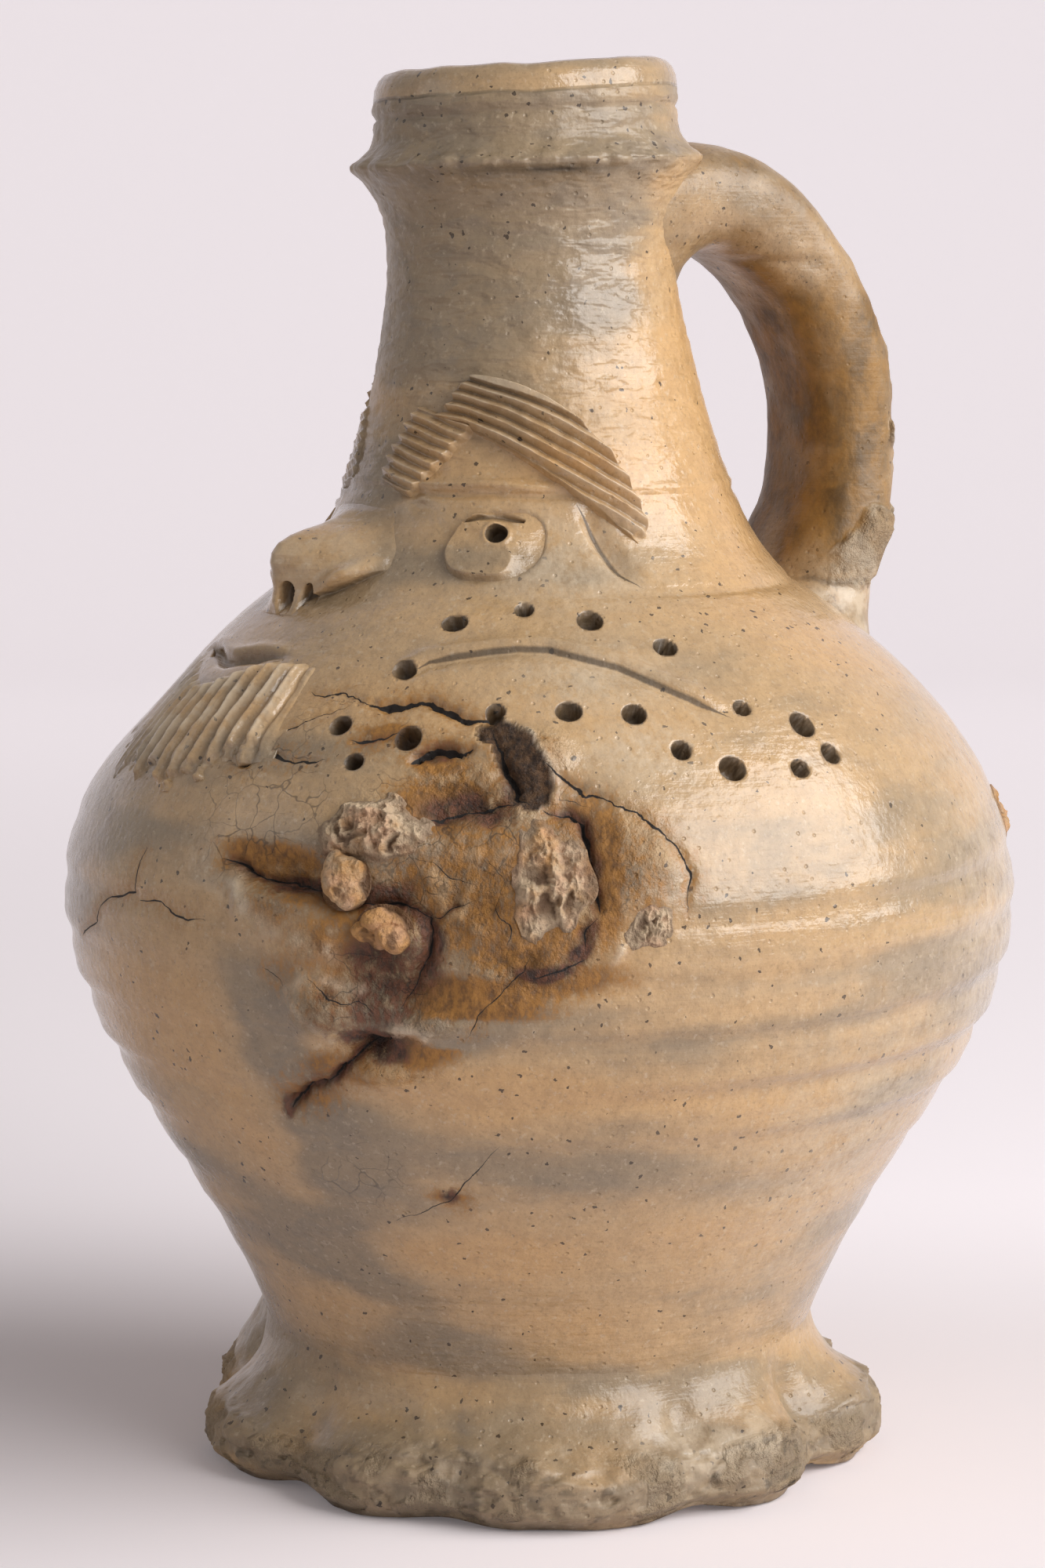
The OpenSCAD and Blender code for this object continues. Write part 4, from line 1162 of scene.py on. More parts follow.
def nose_surface(u, v, seed):
    """Nose height over the wall: its side view along it, a hollow-sided tent across it, and two wings."""
    x, z = NOSE_REACH * (2 * u - 1), NOSE_LOW + NOSE_TALL * v
    aside = np.abs(x)
    along = np.interp(z, NOSE_SIDE[:, 0], NOSE_SIDE[:, 1])
    half = np.interp(z, NOSE_HALF[:, 0], NOSE_HALF[:, 1])
    share = np.clip(np.hypot(x, 0.9) - 0.9, 0, half) / half
    tent = (1 - share) ** (1.25 + 0.5 * ease(z, 143, 148))
    theta = np.degrees(x / wall_radius(z))
    p = at_wall(theta, z)
    brim = 137.0 + 0.52 * np.maximum(aside - BRIM_FROM, 0)
    wing = WING_HIGH * bell(aside - WING_AT, 3.0) * bell(z - brim - 1.6, 2.0)
    undercut = ease(z - brim + 0.15 * rough(p, 1.5, seed + 3, 2), -0.3, 0.45)
    cut = 1 - (1 - undercut) * ease(aside, BRIM_FROM, 8)
    out = (NOSE_OUT * along * tent + wing) * cut + 0.16 * rough(p, 3.0, seed, 3) * tent
    body = ease(1 - share, 0, 0.12) * ease(v, 0, 0.03) * ease(1 - v, 0, 0.1)
    return theta, z, body * out - EDGE_SUNK * (1 - body), body * (1 - cut)


nose_t, nose_z, nose_out, shaded = nose_surface(*unit_grid(170, 170), 161)
print("nose stands out, mm:", round(float(nose_out.max()), 1))

# %% [markdown]
# The nose stands straight out from the axis, not along the sloping wall. Each nostril is pushed in
# along a slanted line, as with a stick.

# %% Nose with nostrils
NOSTRILS = [((1.8, -43.4, 138.3), 1.7), ((5.9, -42.2, 137.5), 1.5)]
STICK_WAY = np.array([-0.25, 0.8, 0.55])
STICK_DEEP, STICK_REACH = 3.0, 3.4


def punch_points(points, centre, way, radius, deep):
    """Pushes points near a line through a centre along that line, as a stick would."""
    way = way / np.linalg.norm(way)
    gap = (points - np.array(centre)) * np.array([1, 1, 0.7])
    along = gap @ way
    d = np.linalg.norm(gap - along[..., None] * way, axis=-1)
    reached = np.abs(along) < STICK_REACH
    push = deep * (1 - ease(d, 0.6 * radius, 1.05 * radius)) * reached
    return points + push[..., None] * way, (1 - ease(d, 0.5 * radius, radius)) * reached


nose_face = on_wall(nose_t, nose_z, thrown(nose_t, nose_z))
nose_face = nose_face + round_axis(nose_t, 1, 0) * nose_out[..., None]
# Painted shade under the wings' undercut and in the nostrils.
nose_shade = 0.3 * shaded
for spot, radius in NOSTRILS:
    nose_face, dark = punch_points(nose_face, spot, STICK_WAY, radius, STICK_DEEP)
    nose_shade = np.maximum(nose_shade, 0.9 * dark)
nose_back = on_wall(nose_t, nose_z, np.full_like(nose_z, SUNK))
# Painted light: the nose is paler and warmer where it stands out from the wall.
nose_marks = {
    "soot_and_shade": nose_shade, "pale": 0.3 * ease(nose_out, 0.5, 4),
    "warm": warmth(nose_t, nose_z) + 0.35 * ease(nose_out, 0.4, 3)}
nose = pad_piece("pinched_nose", nose_face, nose_back, nose_marks)

# %% [markdown]
# ## Beard
# Under the mouth sits a pad of clay combed downwards, broad at the foot and crumbling there. The furrows
# run down the wall, so the comb's sine runs along the turn.

# %% Beard pad
BEARD_TEETH = 17
BEARD_LEFT, BEARD_TURN = -25, 50.5


def beard(seed):
    """A pad combed down the shoulder, lowest under the mouth, with a crumbly foot and smeared sides."""
    u, v = unit_grid(300, 110)
    theta = BEARD_LEFT + BEARD_TURN * u
    far = np.abs(theta)
    low, top = 109.8 + 5.6 * ease(far, 8, 24), 125.4 + 3.9 * ease(far, 0, 15)
    z = low + (top - low) * v
    p = at_wall(theta, z)
    wander = 0.25 * lump_noise(p / np.array([6, 6, 12]), seed) + 0.1 * lump_noise(p / 2.5, seed + 6)
    blunt = 0.8 + 0.5 * lump_noise(p / np.array([5, 5, 20]) + 3, seed + 5)
    tooth = 0.85 * combed(u, BEARD_TEETH, wander) ** blunt + 0.15 * combed(u, 3 * BEARD_TEETH, 2 * wander)
    foot = v + 0.2 * rough(p, 3.4, seed + 1, 3) * (1 - v) ** 0.5
    body = ease(u, 0.02, 0.2) * ease(1 - u, 0, 0.09) * ease(foot, 0.02, 0.2) * ease(1 - v, 0, 0.12)
    crumbs = 0.8 * np.maximum(0, rough(p, 1.8, seed + 4, 3)) * (1 - ease(v, 0.05, 0.25)) * ease(theta, 0, 12)
    high = 0.25 + 1.2 * tooth * ease(v, -0.15, 0.2) + crumbs + 0.12 * rough(p, 1.6, seed + 2, 3)
    near_side = 0.2 + 0.8 * ease(theta, -14, 8)
    out = body * near_side * high - 0.3 * (1 - body)
    foot_dirt = 0.3 * (1 - ease(v, 0.05, 0.2)) * ease(rough(p, 2, seed + 8, 2), 0, 0.5)
    # The furrows are painted with shade and the ridges are painted light, as a highlight.
    soot_and_shade = body * (0.18 * (1 - tooth) ** 2 + foot_dirt)
    marks = {"soot_and_shade": soot_and_shade, "pale": 0.9 * body * tooth * ease(v, 0.1, 0.4)}
    return pressed_pad("combed_beard", theta, z, out, marks)


beard_pad = beard(171)

# %% [markdown]
# ## Handle
# A pulled strap leaves the neck under the cordon, bends over and comes down on the shoulder, where the
# potter smeared its end. Its section is a rounded oblong, carried along two cubics that meet at
# the furthest reach.

# %% Strap of the handle
HANDLE_UPPER = np.array([(22.5, 196), (33.7, 204.6), (53.4, 186), (53.7, 164.3)])
HANDLE_LOWER = np.array([(53.7, 164.3), (53.9, 152.1), (53.4, 146.5), (44.6, 131.5)])
STRAP_HALF_WIDE, STRAP_HALF_THICK = 12.6, 7.5
STRAP_TURNS = np.linspace(0, 2 * np.pi, 110, endpoint=False)


def strap_rings(curve, t, wide, thick):
    """Rings of a rounded oblong carried along a cubic in the plane of nose and handle."""
    line = cubic(curve, t)
    ahead = cubic(curve, t + 0.01) - cubic(curve, t - 0.01)
    ahead = ahead / np.linalg.norm(ahead, axis=-1, keepdims=True)
    c, d = np.cos(STRAP_TURNS), np.sin(STRAP_TURNS)
    across = np.sign(c) * np.abs(c) ** 0.68
    through = np.sign(d) * np.abs(d) ** 0.72
    x = wide[:, None] * across
    y = line[:, :1] - thick[:, None] * through * ahead[:, 1:]
    z = line[:, 1:] + thick[:, None] * through * ahead[:, :1]
    return np.stack([x, y, z], -1)


upper_t, lower_t = np.linspace(0.27, 1, 54), np.linspace(0.02, 0.56, 38)
stouter = 0.9 * (1 - ease(upper_t, 0.3, 0.7))
upper = strap_rings(HANDLE_UPPER, upper_t, STRAP_HALF_WIDE + stouter, STRAP_HALF_THICK + stouter)
lower = strap_rings(HANDLE_LOWER, lower_t, STRAP_HALF_WIDE + 1.6 * lower_t, STRAP_HALF_THICK + 0 * lower_t)
print("rings of the strap:", len(upper) + len(lower))

# %% [markdown]
# Each end is a hollow blend from the strap to an oval on the wall of the pot itself. A number on every
# ring says how loose it is from the wall, so that later unevenness leaves the joints in place.

# %% Ends of the handle
# Height of the oval's middle, its half width, and its half height, which is turned over at the shoulder
NECK_OVAL = (194.5, 18.6, 12.4)
SHOULDER_OVAL = (131.3, 17.4, -7.8)
OVAL_SHARES = np.array([0.3, 0.6, 0.85])
BLEND_SHARES = np.linspace(0, 1, 22, endpoint=False)


def fillet(wall_ring, near_ring, strap_ring):
    """Rings of a hollow blend: a quadratic from the wall, past the strap's own line, to the strap."""
    s = BLEND_SHARES[:, None, None]
    return (1 - s) ** 2 * wall_ring + 2 * s * (1 - s) * near_ring + s**2 * strap_ring


def ring_on_wall(share, middle, side, tall):
    """An oval drawn on the pot's back: its points take their distance from the axis from the wall."""
    x = share * side * np.cos(STRAP_TURNS)
    z = middle + share * tall * np.sin(STRAP_TURNS)
    r = wall_radius(z) - 0.5
    return np.stack([x, np.sqrt(r * r - x * x), z], -1)


back = (cubic(HANDLE_UPPER, np.array([0.26])) - cubic(HANDLE_UPPER, np.array([0.28])))[0]
back = back / np.linalg.norm(back)
near_neck = upper[:1] + 6.5 * np.array([0, *back])
near_shoulder = strap_rings(HANDLE_LOWER, np.array([0.9]), np.array([14.2]), np.array([7.8]))
on_neck = np.stack([ring_on_wall(s, *NECK_OVAL) for s in OVAL_SHARES])
on_shoulder = np.stack([ring_on_wall(s, *SHOULDER_OVAL) for s in OVAL_SHARES[::-1]])
top_blend = fillet(ring_on_wall(1, *NECK_OVAL), near_neck, upper[0])
low_blend = fillet(ring_on_wall(1, *SHOULDER_OVAL), near_shoulder, lower[-1])[::-1]
strap = np.concatenate([on_neck, top_blend, upper, lower, low_blend, on_shoulder])
fast = np.zeros(len(OVAL_SHARES))
free = np.ones(len(upper) + len(lower))
loose = np.concatenate([fast, BLEND_SHARES, free, BLEND_SHARES[::-1], fast])[:, None] + 0 * strap[..., 0]
print("rings of the handle:", len(strap))

# %% [markdown]
# The lower end was smeared on in a hurry: a rough crust of clay laps over the outer near corner, split
# from the smooth wad under it. The crust is a raised patch with a ragged edge, from noise. A seam of
# scraped-up clay runs along the near edge, and a crease crosses the upper bend.

# %% Crust, seam and creases on the handle
CRUST_TURN, CRUST_TOP = 50, 150

hx, hy, hz = strap[..., 0], strap[..., 1], strap[..., 2]
round_at = np.degrees(STRAP_TURNS)[None, :] + 0 * hz
off_crust = np.abs(turn_gap(round_at, CRUST_TURN))
ragged = 3.0 * rough(strap, 6, 191, 4)
crust = ease(CRUST_TOP - hz + ragged - 0.09 * off_crust, 0, 0.8) * ease(hz + 0.6 * ragged, 136.5, 137.4)
crust = crust * (1 - ease(off_crust + 5 * ragged, 62, 74)) * loose
seam = bell(round_at - 60 - 8 * ragged, 14) * ease(hz, 148, 156) * (1 - ease(hz, 184, 191))
seam = seam * ease(rough(strap, 5, 197, 3), -0.1, 0.4)
split = bell(hz - 137.2 - 0.5 * ragged, 0.6) * (1 - ease(np.abs(turn_gap(round_at, 10)), 50, 70))
crease = bell(hz - 187.5 - 0.05 * (hy - 30) - 0.2 * ragged, 0.8) * ease(hx, 4, 9) * (1 - ease(hy, 40, 48))
uneven = 0.4 * rough(strap, 18, 181, 2) + 0.12 * rough(strap, 2.4, 183, 2)
uneven += crust * (1.2 + 0.5 * crumpled(strap, 4.5, 185))
uneven += 0.7 * seam * (0.6 + 0.6 * crumpled(strap, 4, 199))
uneven -= 0.9 * split + 0.6 * crease
away = strap - strap.mean(axis=1, keepdims=True)
away = away / np.maximum(np.linalg.norm(away, axis=-1, keepdims=True), 1e-6)
handle_grid = settle(strap + away * (uneven * loose)[..., None])
print("handle's unevenness, mm:", round(float(uneven.min()), 2), "to", round(float(uneven.max()), 2))

# %% [markdown]
# Ash ran down the handle's near side and inner face and left it brown, and the brown on the near side
# also stands for painted shade. The crust stayed grey and sooty, shade is painted into the split and the
# crease, and the smeared end is pale.

# %% Stains on the handle
# Partly painted shade: the brown strip down the near side.
strip = bell(turn_gap(round_at, -12), 46)
inner_side = bell(turn_gap(round_at, -95), 48)
middle_run = ease(hz, 136, 146) * (1 - ease(hz, 176, 192))
patchy = np.clip(0.9 + 0.4 * rough(handle_grid, 16, 185, 3), 0, 1)
spread = 0.42 * middle_run + 0.26 * ease(hz, 136, 150) + 0.35 * rough(handle_grid, 6, 193, 4)
stain = np.maximum(np.maximum(strip, 0.5 * inner_side) * middle_run * patchy, spread)
grime = 0.3 * ease(rough(handle_grid, 2.8, 201, 3), 0.15, 0.7)
top_soot = 0.1 + 0.14 * ease(hz, 180, 192)
crust_soot = crust * (0.35 + 0.4 * rough(handle_grid, 3, 195, 3))
pale_end = 0.8 * (1 - ease(hz, 135, 138)) * ease(hz, 127, 130)
# Painted shade in the split and the crease.
handle_marks = {
    "warm": np.clip(0.32 + 0.2 * rough(handle_grid, 16, 187, 2), 0, 1), "stain": stain * (1 - 0.8 * crust),
    "grey": np.maximum(0.15 * ease(rough(handle_grid, 11, 189, 3), -0.1, 0.4), 0.6 * crust),
    "pale": np.max([0.5 * seam, 3 * crust * (1 - crust), pale_end], axis=0),
    "grit": np.maximum(crust, seam),
    "soot_and_shade": np.max([0.6 * split, 0.3 * crease, crust_soot, grime, top_soot], axis=0),
    "matte": np.clip(0.45 + 0.5 * crust + 0.3 * stain, 0, 1)}
handle_marks = {m: v[:, ::-1] for m, v in handle_marks.items()}
first, last = handle_grid[0].mean(axis=0), handle_grid[-1].mean(axis=0)
handle = turned_piece("pulled_handle", handle_grid[:, ::-1], first, last, handle_marks)

# %% [markdown]
# ## Foot
# A coil of clay was luted round the base and pressed out with the thumb into lobes. The upper skirt
# runs smoothly into the wall; the lower band stands nearly upright, rough where it was pressed on
# grit, and lifts off the ground between the lobes. Sections worked out turn by turn let each lobe differ,
# where copies of one lobe would look stamped.

# %% Thumbed foot
# Turn and strength of each thumb dent
FOOT_DENTS = [
    (14, 0.9), (46, 0.5), (90, 0.8), (121, 1.1), (164, 1.0), (198, 0.8), (240, 1.0), (288, 0.8), (329, 1.1)]
FOOT_WIDE = 55.2
FOOT_BAND = 9.6
FOOT_TOP = 21.8
FOOT_COLUMNS = 640
FIN_AT = -49
INNER_HEIGHTS = np.array([16.0, 10.0, 4.0, 0.9])[:, None]
INNER_FOOT = 42


def dent_share(theta, wide):
    """How deep the dents between lobes are at a turn: bells of a width in degrees, each with its strength."""
    total = np.zeros(theta.shape)
    for at, strength in FOOT_DENTS:
        total = np.maximum(total, strength * bell(turn_gap(theta, at), wide))
    return total


def foot_grid(theta):
    """Sections round the pot: up the rough band, over its edge, up the hollow skirt, and back down inside."""
    ring = level_ring(theta, 2.4)
    dent = dent_share(theta, 9)
    fin = bell(turn_gap(theta, FIN_AT), 12)
    r = FOOT_WIDE - 0.9 - 3.6 * dent + 0.8 * lump_noise(ring, 191) + 0.6 * fin
    lift = 1.5 * dent_share(theta, 7) + 0.3
    band = FOOT_BAND + 1.2 * lump_noise(ring * 1.4 + 5, 193) + 0.8 * (1 - dent)
    top_z = FOOT_TOP + 0.8 * lump_noise(ring + 9, 195) + 5 * fin
    s = np.concatenate([np.linspace(0, 1, 36), np.linspace(1, 2, 44)[1:]])[:, None]
    low, up = np.clip(s, 0, 1), np.clip(s - 1, 0, 1)
    r_low = r - 2.4 * (1 - ease(low, 0, 0.3)) - 1.6 * ease(low, 0.55, 1) ** 2
    wall = wall_radius(top_z) - 0.2
    r_up = wall + (r - 1.6 - wall) * (1 - up) ** (2.1 - 0.8 * fin)
    r_up = r_up - 1.3 * dent_share(theta, 3.5) * np.sin(np.pi * np.sqrt(up))
    z_low, z_up = lift + low * (band - lift), band + (top_z - band) * up
    inner_r = wall_radius(INNER_HEIGHTS) - 0.7 + 0 * theta
    rr = np.concatenate([np.where(s <= 1, r_low, r_up), inner_r, INNER_FOOT + 0 * theta])
    zz = np.concatenate([np.where(s <= 1, z_low, z_up), INNER_HEIGHTS + 0 * theta, lift + 0.3])
    share = np.concatenate([s, np.full((len(INNER_HEIGHTS) + 1, 1), 3.0)])
    return theta + 0 * rr, rr, zz, share + 0 * rr


foot_t, foot_r, foot_z, foot_s = foot_grid(np.linspace(0, 360, FOOT_COLUMNS, endpoint=False)[None, :])
print("foot grid:", foot_r.shape)

# %% [markdown]
# The band is crumbly and folded, with flakes that stand off it. All of that shoves the points in or out,
# but never past the widest place of the solid foot. Grey and a little soot sit in the folds, and shade is
# painted into the folds, the pits, the flakes' edges and the bottom where the foot meets the ground. Part of
# the band's edge is paler, partly flakes and partly painted sheen.

# %% Rough band of the foot
foot_p = round_axis(foot_t, foot_r, foot_z)
flaky = ease(rough(foot_p, 7, 205, 3), -0.1, 0.25)
crumbly = (1 - ease(foot_s + 0.25 * rough(foot_p, 9, 207, 2), 0.85, 1.1)) * ease(foot_z, 0.1, 1.5)
folded = crumpled(foot_p * np.array([0.75, 0.75, 1.2]), 6.5, 203)
flakes = ease(rough(foot_p * np.array([0.8, 0.8, 1.5]), 6, 215, 4), 0.02, 0.1)
flake_zone = (1 - ease(foot_s + 0.2 * rough(foot_p, 9, 217, 2), 0.9, 1.25)) * ease(foot_z, 0.5, 2)
shove = 0.6 * rough(foot_p, 8, 201, 3) * (1 - ease(foot_s, 1.3, 1.9)) + 0.55 * flakes * flake_zone
shove += crumbly * (0.4 * folded + 0.3 * rough(foot_p, 1.8, 211, 3) - 0.35 * flaky)
shove = shove * (foot_s < 2.5)
foot_r = np.minimum(foot_r + shove, FOOT_WIDE)
foot_z = np.maximum(foot_z + 0.4 * shove * crumbly, 0)
foot_p = round_axis(foot_t, foot_r, foot_z)

pits = 0.5 * crumbly * ease(rough(foot_p, 2.2, 213, 3), 0.4, 0.75)
# Painted shade: along the ground, in the folds, in the pits and at the flakes' edges, over a faint soot.
foot_soot_and_shade = [
    0.05 - 0.05 * ease(foot_t, 95, 125), 0.4 * (1 - ease(foot_z, 0.2, 2.2)),
    0.2 * crumbly * ease(-folded, 0.1, 0.7), pits, 1.6 * flake_zone * flakes * (1 - flakes)]
# Pale flakes and a painted sheen on the band's edge.
pale_flakes_and_sheen = bell(turn_gap(foot_t, 95), 32) * bell(foot_s - 1, 0.35)
foot_warm = warmth(foot_t, np.clip(foot_z, 1, 60)) - 0.12 * (1 - ease(foot_s, 1.0, 2.0))
foot_marks = {
    "warm": np.clip(foot_warm, 0, 1), "grey": crumbly * flaky * 0.5, "soot_and_shade": np.max(foot_soot_and_shade, axis=0),
    "pale": 0.6 * ease(rough(foot_p, 10, 209, 4), 0.08, 0.16) * pale_flakes_and_sheen,
    "matte": np.clip(0.4 + 0.45 * crumbly, 0, 1), "grit": crumbly * flaky}
foot_faces = grid_faces(*foot_r.shape, True, True)
foot_frill = make_piece("thumbed_foot", foot_p.reshape(-1, 3), foot_faces, NO_TRIANGLES, foot_marks)

# %% [markdown]
# ## Kiln debris
# Lumps of grog and brick fell into the burst and fused there. Two are nuggets, which are the highest
# of several round knobs. The others are low crusts, crumpled like the foot's rough band,
# whose edges run out into the wall.

# %% Lumps and flake
# Turn, height, half width, half height, rise, size of the crust's folds (0 for a nugget) and yellow share
LUMPS = {
    "kiln_lump_1": (42.4, 107.6, 9.2, 4.6, 2.5, 3.5, 0.1),
    "kiln_lump_2": (39.8, 100.4, 3.9, 4.2, 2.6, 0.0, 0.4),
    "kiln_lump_3": (44.6, 93.6, 4.4, 4.0, 3.2, 0.0, 0.95),
    "kiln_lump_4": (63.1, 101, 6.2, 8.8, 1.9, 3.4, 0.35),
    "kiln_lump_5": (74.1, 94.7, 4.8, 4.2, 1.9, 3.1, 0.0),
    "kiln_flake": (147.5, 101.8, 4.6, 4.4, 0.9, 3.0, 0.6)}
# Place on the unit disc, reach and height of each knob
KNOBS = {
    "kiln_lump_2": [
        (-0.1, 0.05, 0.78, 1.0), (0.3, -0.5, 0.5, 0.75), (-0.35, 0.5, 0.5, 0.85), (0.35, 0.3, 0.5, 0.7)],
    "kiln_lump_3": [
        (0.3, -0.3, 0.6, 1.0), (-0.1, 0.35, 0.5, 0.95), (-0.55, -0.05, 0.42, 0.6), (0.0, 0.0, 0.8, 0.5)]}


def disc_of(u, v):
    """A square of shares bent into a disc of radius 1."""
    x, y = 2 * u - 1, 2 * v - 1
    return x * np.sqrt(1 - y * y / 2), y * np.sqrt(1 - x * x / 2)


def nugget(x, y, knobs):
    """A lumpy grain on a unit disc: the highest of a few round knobs with their places and heights."""
    top = np.full(x.shape, -0.3)
    for kx, ky, reach, high in knobs:
        gap = ((x - kx) ** 2 + (y - ky) ** 2) / reach**2
        knob = high * np.sqrt(np.maximum(1 - gap, 0)) ** 0.8
        top = np.maximum(top, np.where(gap < 1, knob, -0.3 * np.minimum(gap - 1, 1)))
    return top


def debris(node, at, up, wide, tall, high, fold, tint, seed):
    """A ragged disc on the sunken wall, raised into a chunk or a crumpled crust, with grit on top."""
    x, y = disc_of(*unit_grid(120, 120))
    spin = np.arctan2(y, x)
    edge = 1 + (fold > 0) * (0.1 * np.sin(3 * spin + seed) + 0.06 * np.sin(7 * spin + 2 * seed))
    theta = at + np.degrees(wide * x * edge / wall_radius(up))
    z = up + tall * y * edge
    p = at_wall(theta, z)
    grit = rough(p, 1.6, seed + 5, 4)
    if fold > 0:
        dome = ease(1 - np.hypot(x, y) + 0.3 * rough(p, 3.4, seed + 9, 3), 0.05, 0.75)
        crease = crumpled(p * np.array([1, 1, 0.7]) + 0.4 * grit[..., None], fold, seed)
        out = dome * high * (0.48 + 0.58 * crease + 0.2 * grit)
        # Painted shade in the creases and round the crust's foot.
        pit = np.maximum(dome * ease(-crease, 0.1, 0.8), 0.6 * (1 - ease(dome, 0.1, 0.4)))
    else:
        shaken_x, shaken_y = x + 0.12 * rough(p, 2.4, seed, 2), y + 0.12 * rough(p, 2.4, seed + 3, 2)
        dome = nugget(shaken_x, shaken_y, KNOBS[node])
        crease = crumpled(p, 3, seed + 13)
        out = high * np.maximum(dome, -0.2) + (0.2 * grit + 0.25 * crease) * ease(dome, 0, 0.3)
        # Painted shade round the nugget's foot and in its creases.
        pit = 0.9 * (1 - ease(dome, 0.0, 0.35)) + 0.7 * ease(-crease, 0.4, 1.0)
    out = np.maximum(out, 0.05) - 0.45 * (1 - ease(dome, 0.0, 0.12))
    marks = {"tint": np.clip(tint + 0.3 * rough(p, 3, seed + 7, 3), 0, 1), "pit": np.clip(pit, 0, 1)}
    return pressed_pad("debris_" + node, theta, z, out, marks)


kiln_pieces = {}
for k, (node, numbers) in enumerate(LUMPS.items()):
    kiln_pieces[node] = debris(node, *numbers, 210 + 10 * k)

# %% [markdown]
# ## Materials: a small kit for shader nodes
# Shaders are built from nodes. These helpers add one node, set it up and give back its output, so
# that the recipe of a finish reads like a list of layers. Textures read Object coordinates, which are
# metres here, so a texture scale of 1000 gives one lump per millimetre.

# %% Shader helpers
def paint(r, g, b):
    """A colour given on a screen's scale, 0 to 255, turned into the linear numbers a shader needs."""
    c = np.array([r, g, b]) / 255.0
    c = np.where(c <= 0.04045, c / 12.92, ((c + 0.055) / 1.055) ** 2.4)
    return (float(c[0]), float(c[1]), float(c[2]), 1.0)


class Recipe:
    """One material's node tree, with short methods that add a node and return its output."""

    def __init__(self, name):
        self.material = bpy.data.materials.new(name)
        self.material.use_nodes = True
        self.tree = self.material.node_tree
        self.shader = self.tree.nodes["Principled BSDF"]
        self.place = self.tree.nodes.new("ShaderNodeTexCoord").outputs["Object"]

    def join(self, value, socket):
        """Links an output to a socket, or sets the socket's own value."""
        if isinstance(value, bpy.types.NodeSocket):
            self.tree.links.new(value, socket)
        else:
            socket.default_value = value

    def feed(self, socket, value):
        """Joins an output to the shader, or sets the shader's own value."""
        self.join(value, self.shader.inputs[socket])

    def add(self, kind, links=(), **settings):
        """Adds a node, sets its properties and joins (socket, value or output) pairs."""
        node = self.tree.nodes.new(kind)
        for key, value in settings.items():
            setattr(node, key, value)
        for socket, value in links:
            self.join(value, node.inputs[socket])
        return node

    def stretched(self, x, y, z):
        """Object coordinates scaled differently along each axis."""
        return self.add("ShaderNodeMapping", [("Vector", self.place), ("Scale", (x, y, z))]).outputs[0]

    def noise(self, scale, detail=3.0, rough_share=0.5, warp=0.0, where=None):
        """Cloudy noise, about 0 to 1."""
        links = [("Vector", where or self.place), ("Scale", scale), ("Detail", detail),
                 ("Roughness", rough_share), ("Distortion", warp)]
        return self.add("ShaderNodeTexNoise", links).outputs[0]

    def shaken(self, scale, far):
        """Object coordinates moved about by coloured noise, up to a distance in metres."""
        colour = self.add("ShaderNodeTexNoise", [("Vector", self.place), ("Scale", scale)]).outputs["Color"]
        links = [(0, colour), (1, (far, far, far)), (2, self.place)]
        return self.add("ShaderNodeVectorMath", links, operation="MULTIPLY_ADD").outputs[0]

    def cells(self, scale, feature="F1", where=None):
        """Distance to scattered points, or to the borders between their cells."""
        links = [("Vector", where or self.place), ("Scale", scale)]
        return self.add("ShaderNodeTexVoronoi", links, feature=feature).outputs["Distance"]

    def mark(self, name):
        """A number stored on the mesh's points."""
        return self.add("ShaderNodeAttribute", attribute_name=name).outputs["Fac"]

    def math(self, operation, a, b=0.0):
        """One arithmetic step on two numbers."""
        return self.add("ShaderNodeMath", [(0, a), (1, b)], operation=operation).outputs[0]

    def plus(self, a, b):
        """The sum of two numbers."""
        return self.math("ADD", a, b)

    def minus(self, a, b):
        """The first number less the second."""
        return self.math("SUBTRACT", a, b)

    def times(self, a, b):
        """The product of two numbers."""
        return self.math("MULTIPLY", a, b)

    def most(self, first, *others):
        """The largest of several numbers."""
        for other in others:
            first = self.math("MAXIMUM", first, other)
        return first

    def step(self, value, low, high, to_low=0.0, to_high=1.0):
        """Smoothly maps low..high to to_low..to_high, and holds outside."""
        links = [("Value", value), ("From Min", low), ("From Max", high),
                 ("To Min", to_low), ("To Max", to_high)]
        return self.add("ShaderNodeMapRange", links, interpolation_type="SMOOTHSTEP").outputs[0]

    def stained(self, name, ragged, low, high):
        """Share of a stain: its mark, made ragged by noise where there is any of it, between two limits."""
        mark = self.mark(name)
        noisy = self.times(ragged, self.step(mark, 0.02, 0.3))
        return self.step(self.plus(mark, noisy), low, high)

    def blend(self, share, under, over, mode="MIX"):
        """Lays one colour over another by a share."""
        node = self.add("ShaderNodeMix", data_type="RGBA", blend_type=mode)
        for index, value in ((0, share), (6, under), (7, over)):
            self.join(value, node.inputs[index])
        return node.outputs[2]

    def bump(self, height, distance, under=None):
        """Tilts the surface by a height; distance is in metres."""
        links = [("Height", height), ("Distance", distance), ("Strength", 1.0)]
        if under is not None:
            links.append(("Normal", under))
        return self.add("ShaderNodeBump", links).outputs[0]


print("middle grey on a screen is", round(paint(128, 128, 128)[0], 3), "in a shader")

# %% [markdown]
# ## Salt glaze
# Salt thrown into the fire leaves a thin, pebbled glass over the clay. Its colour comes in layers. The
# ground is grey or warm as the mesh says, with cloudy mottling and drawn-out bands from throwing. On it
# lie freckles and iron specks of two sizes. Noise makes them all: unlike a picture it has no seams and
# stays sharp close up.

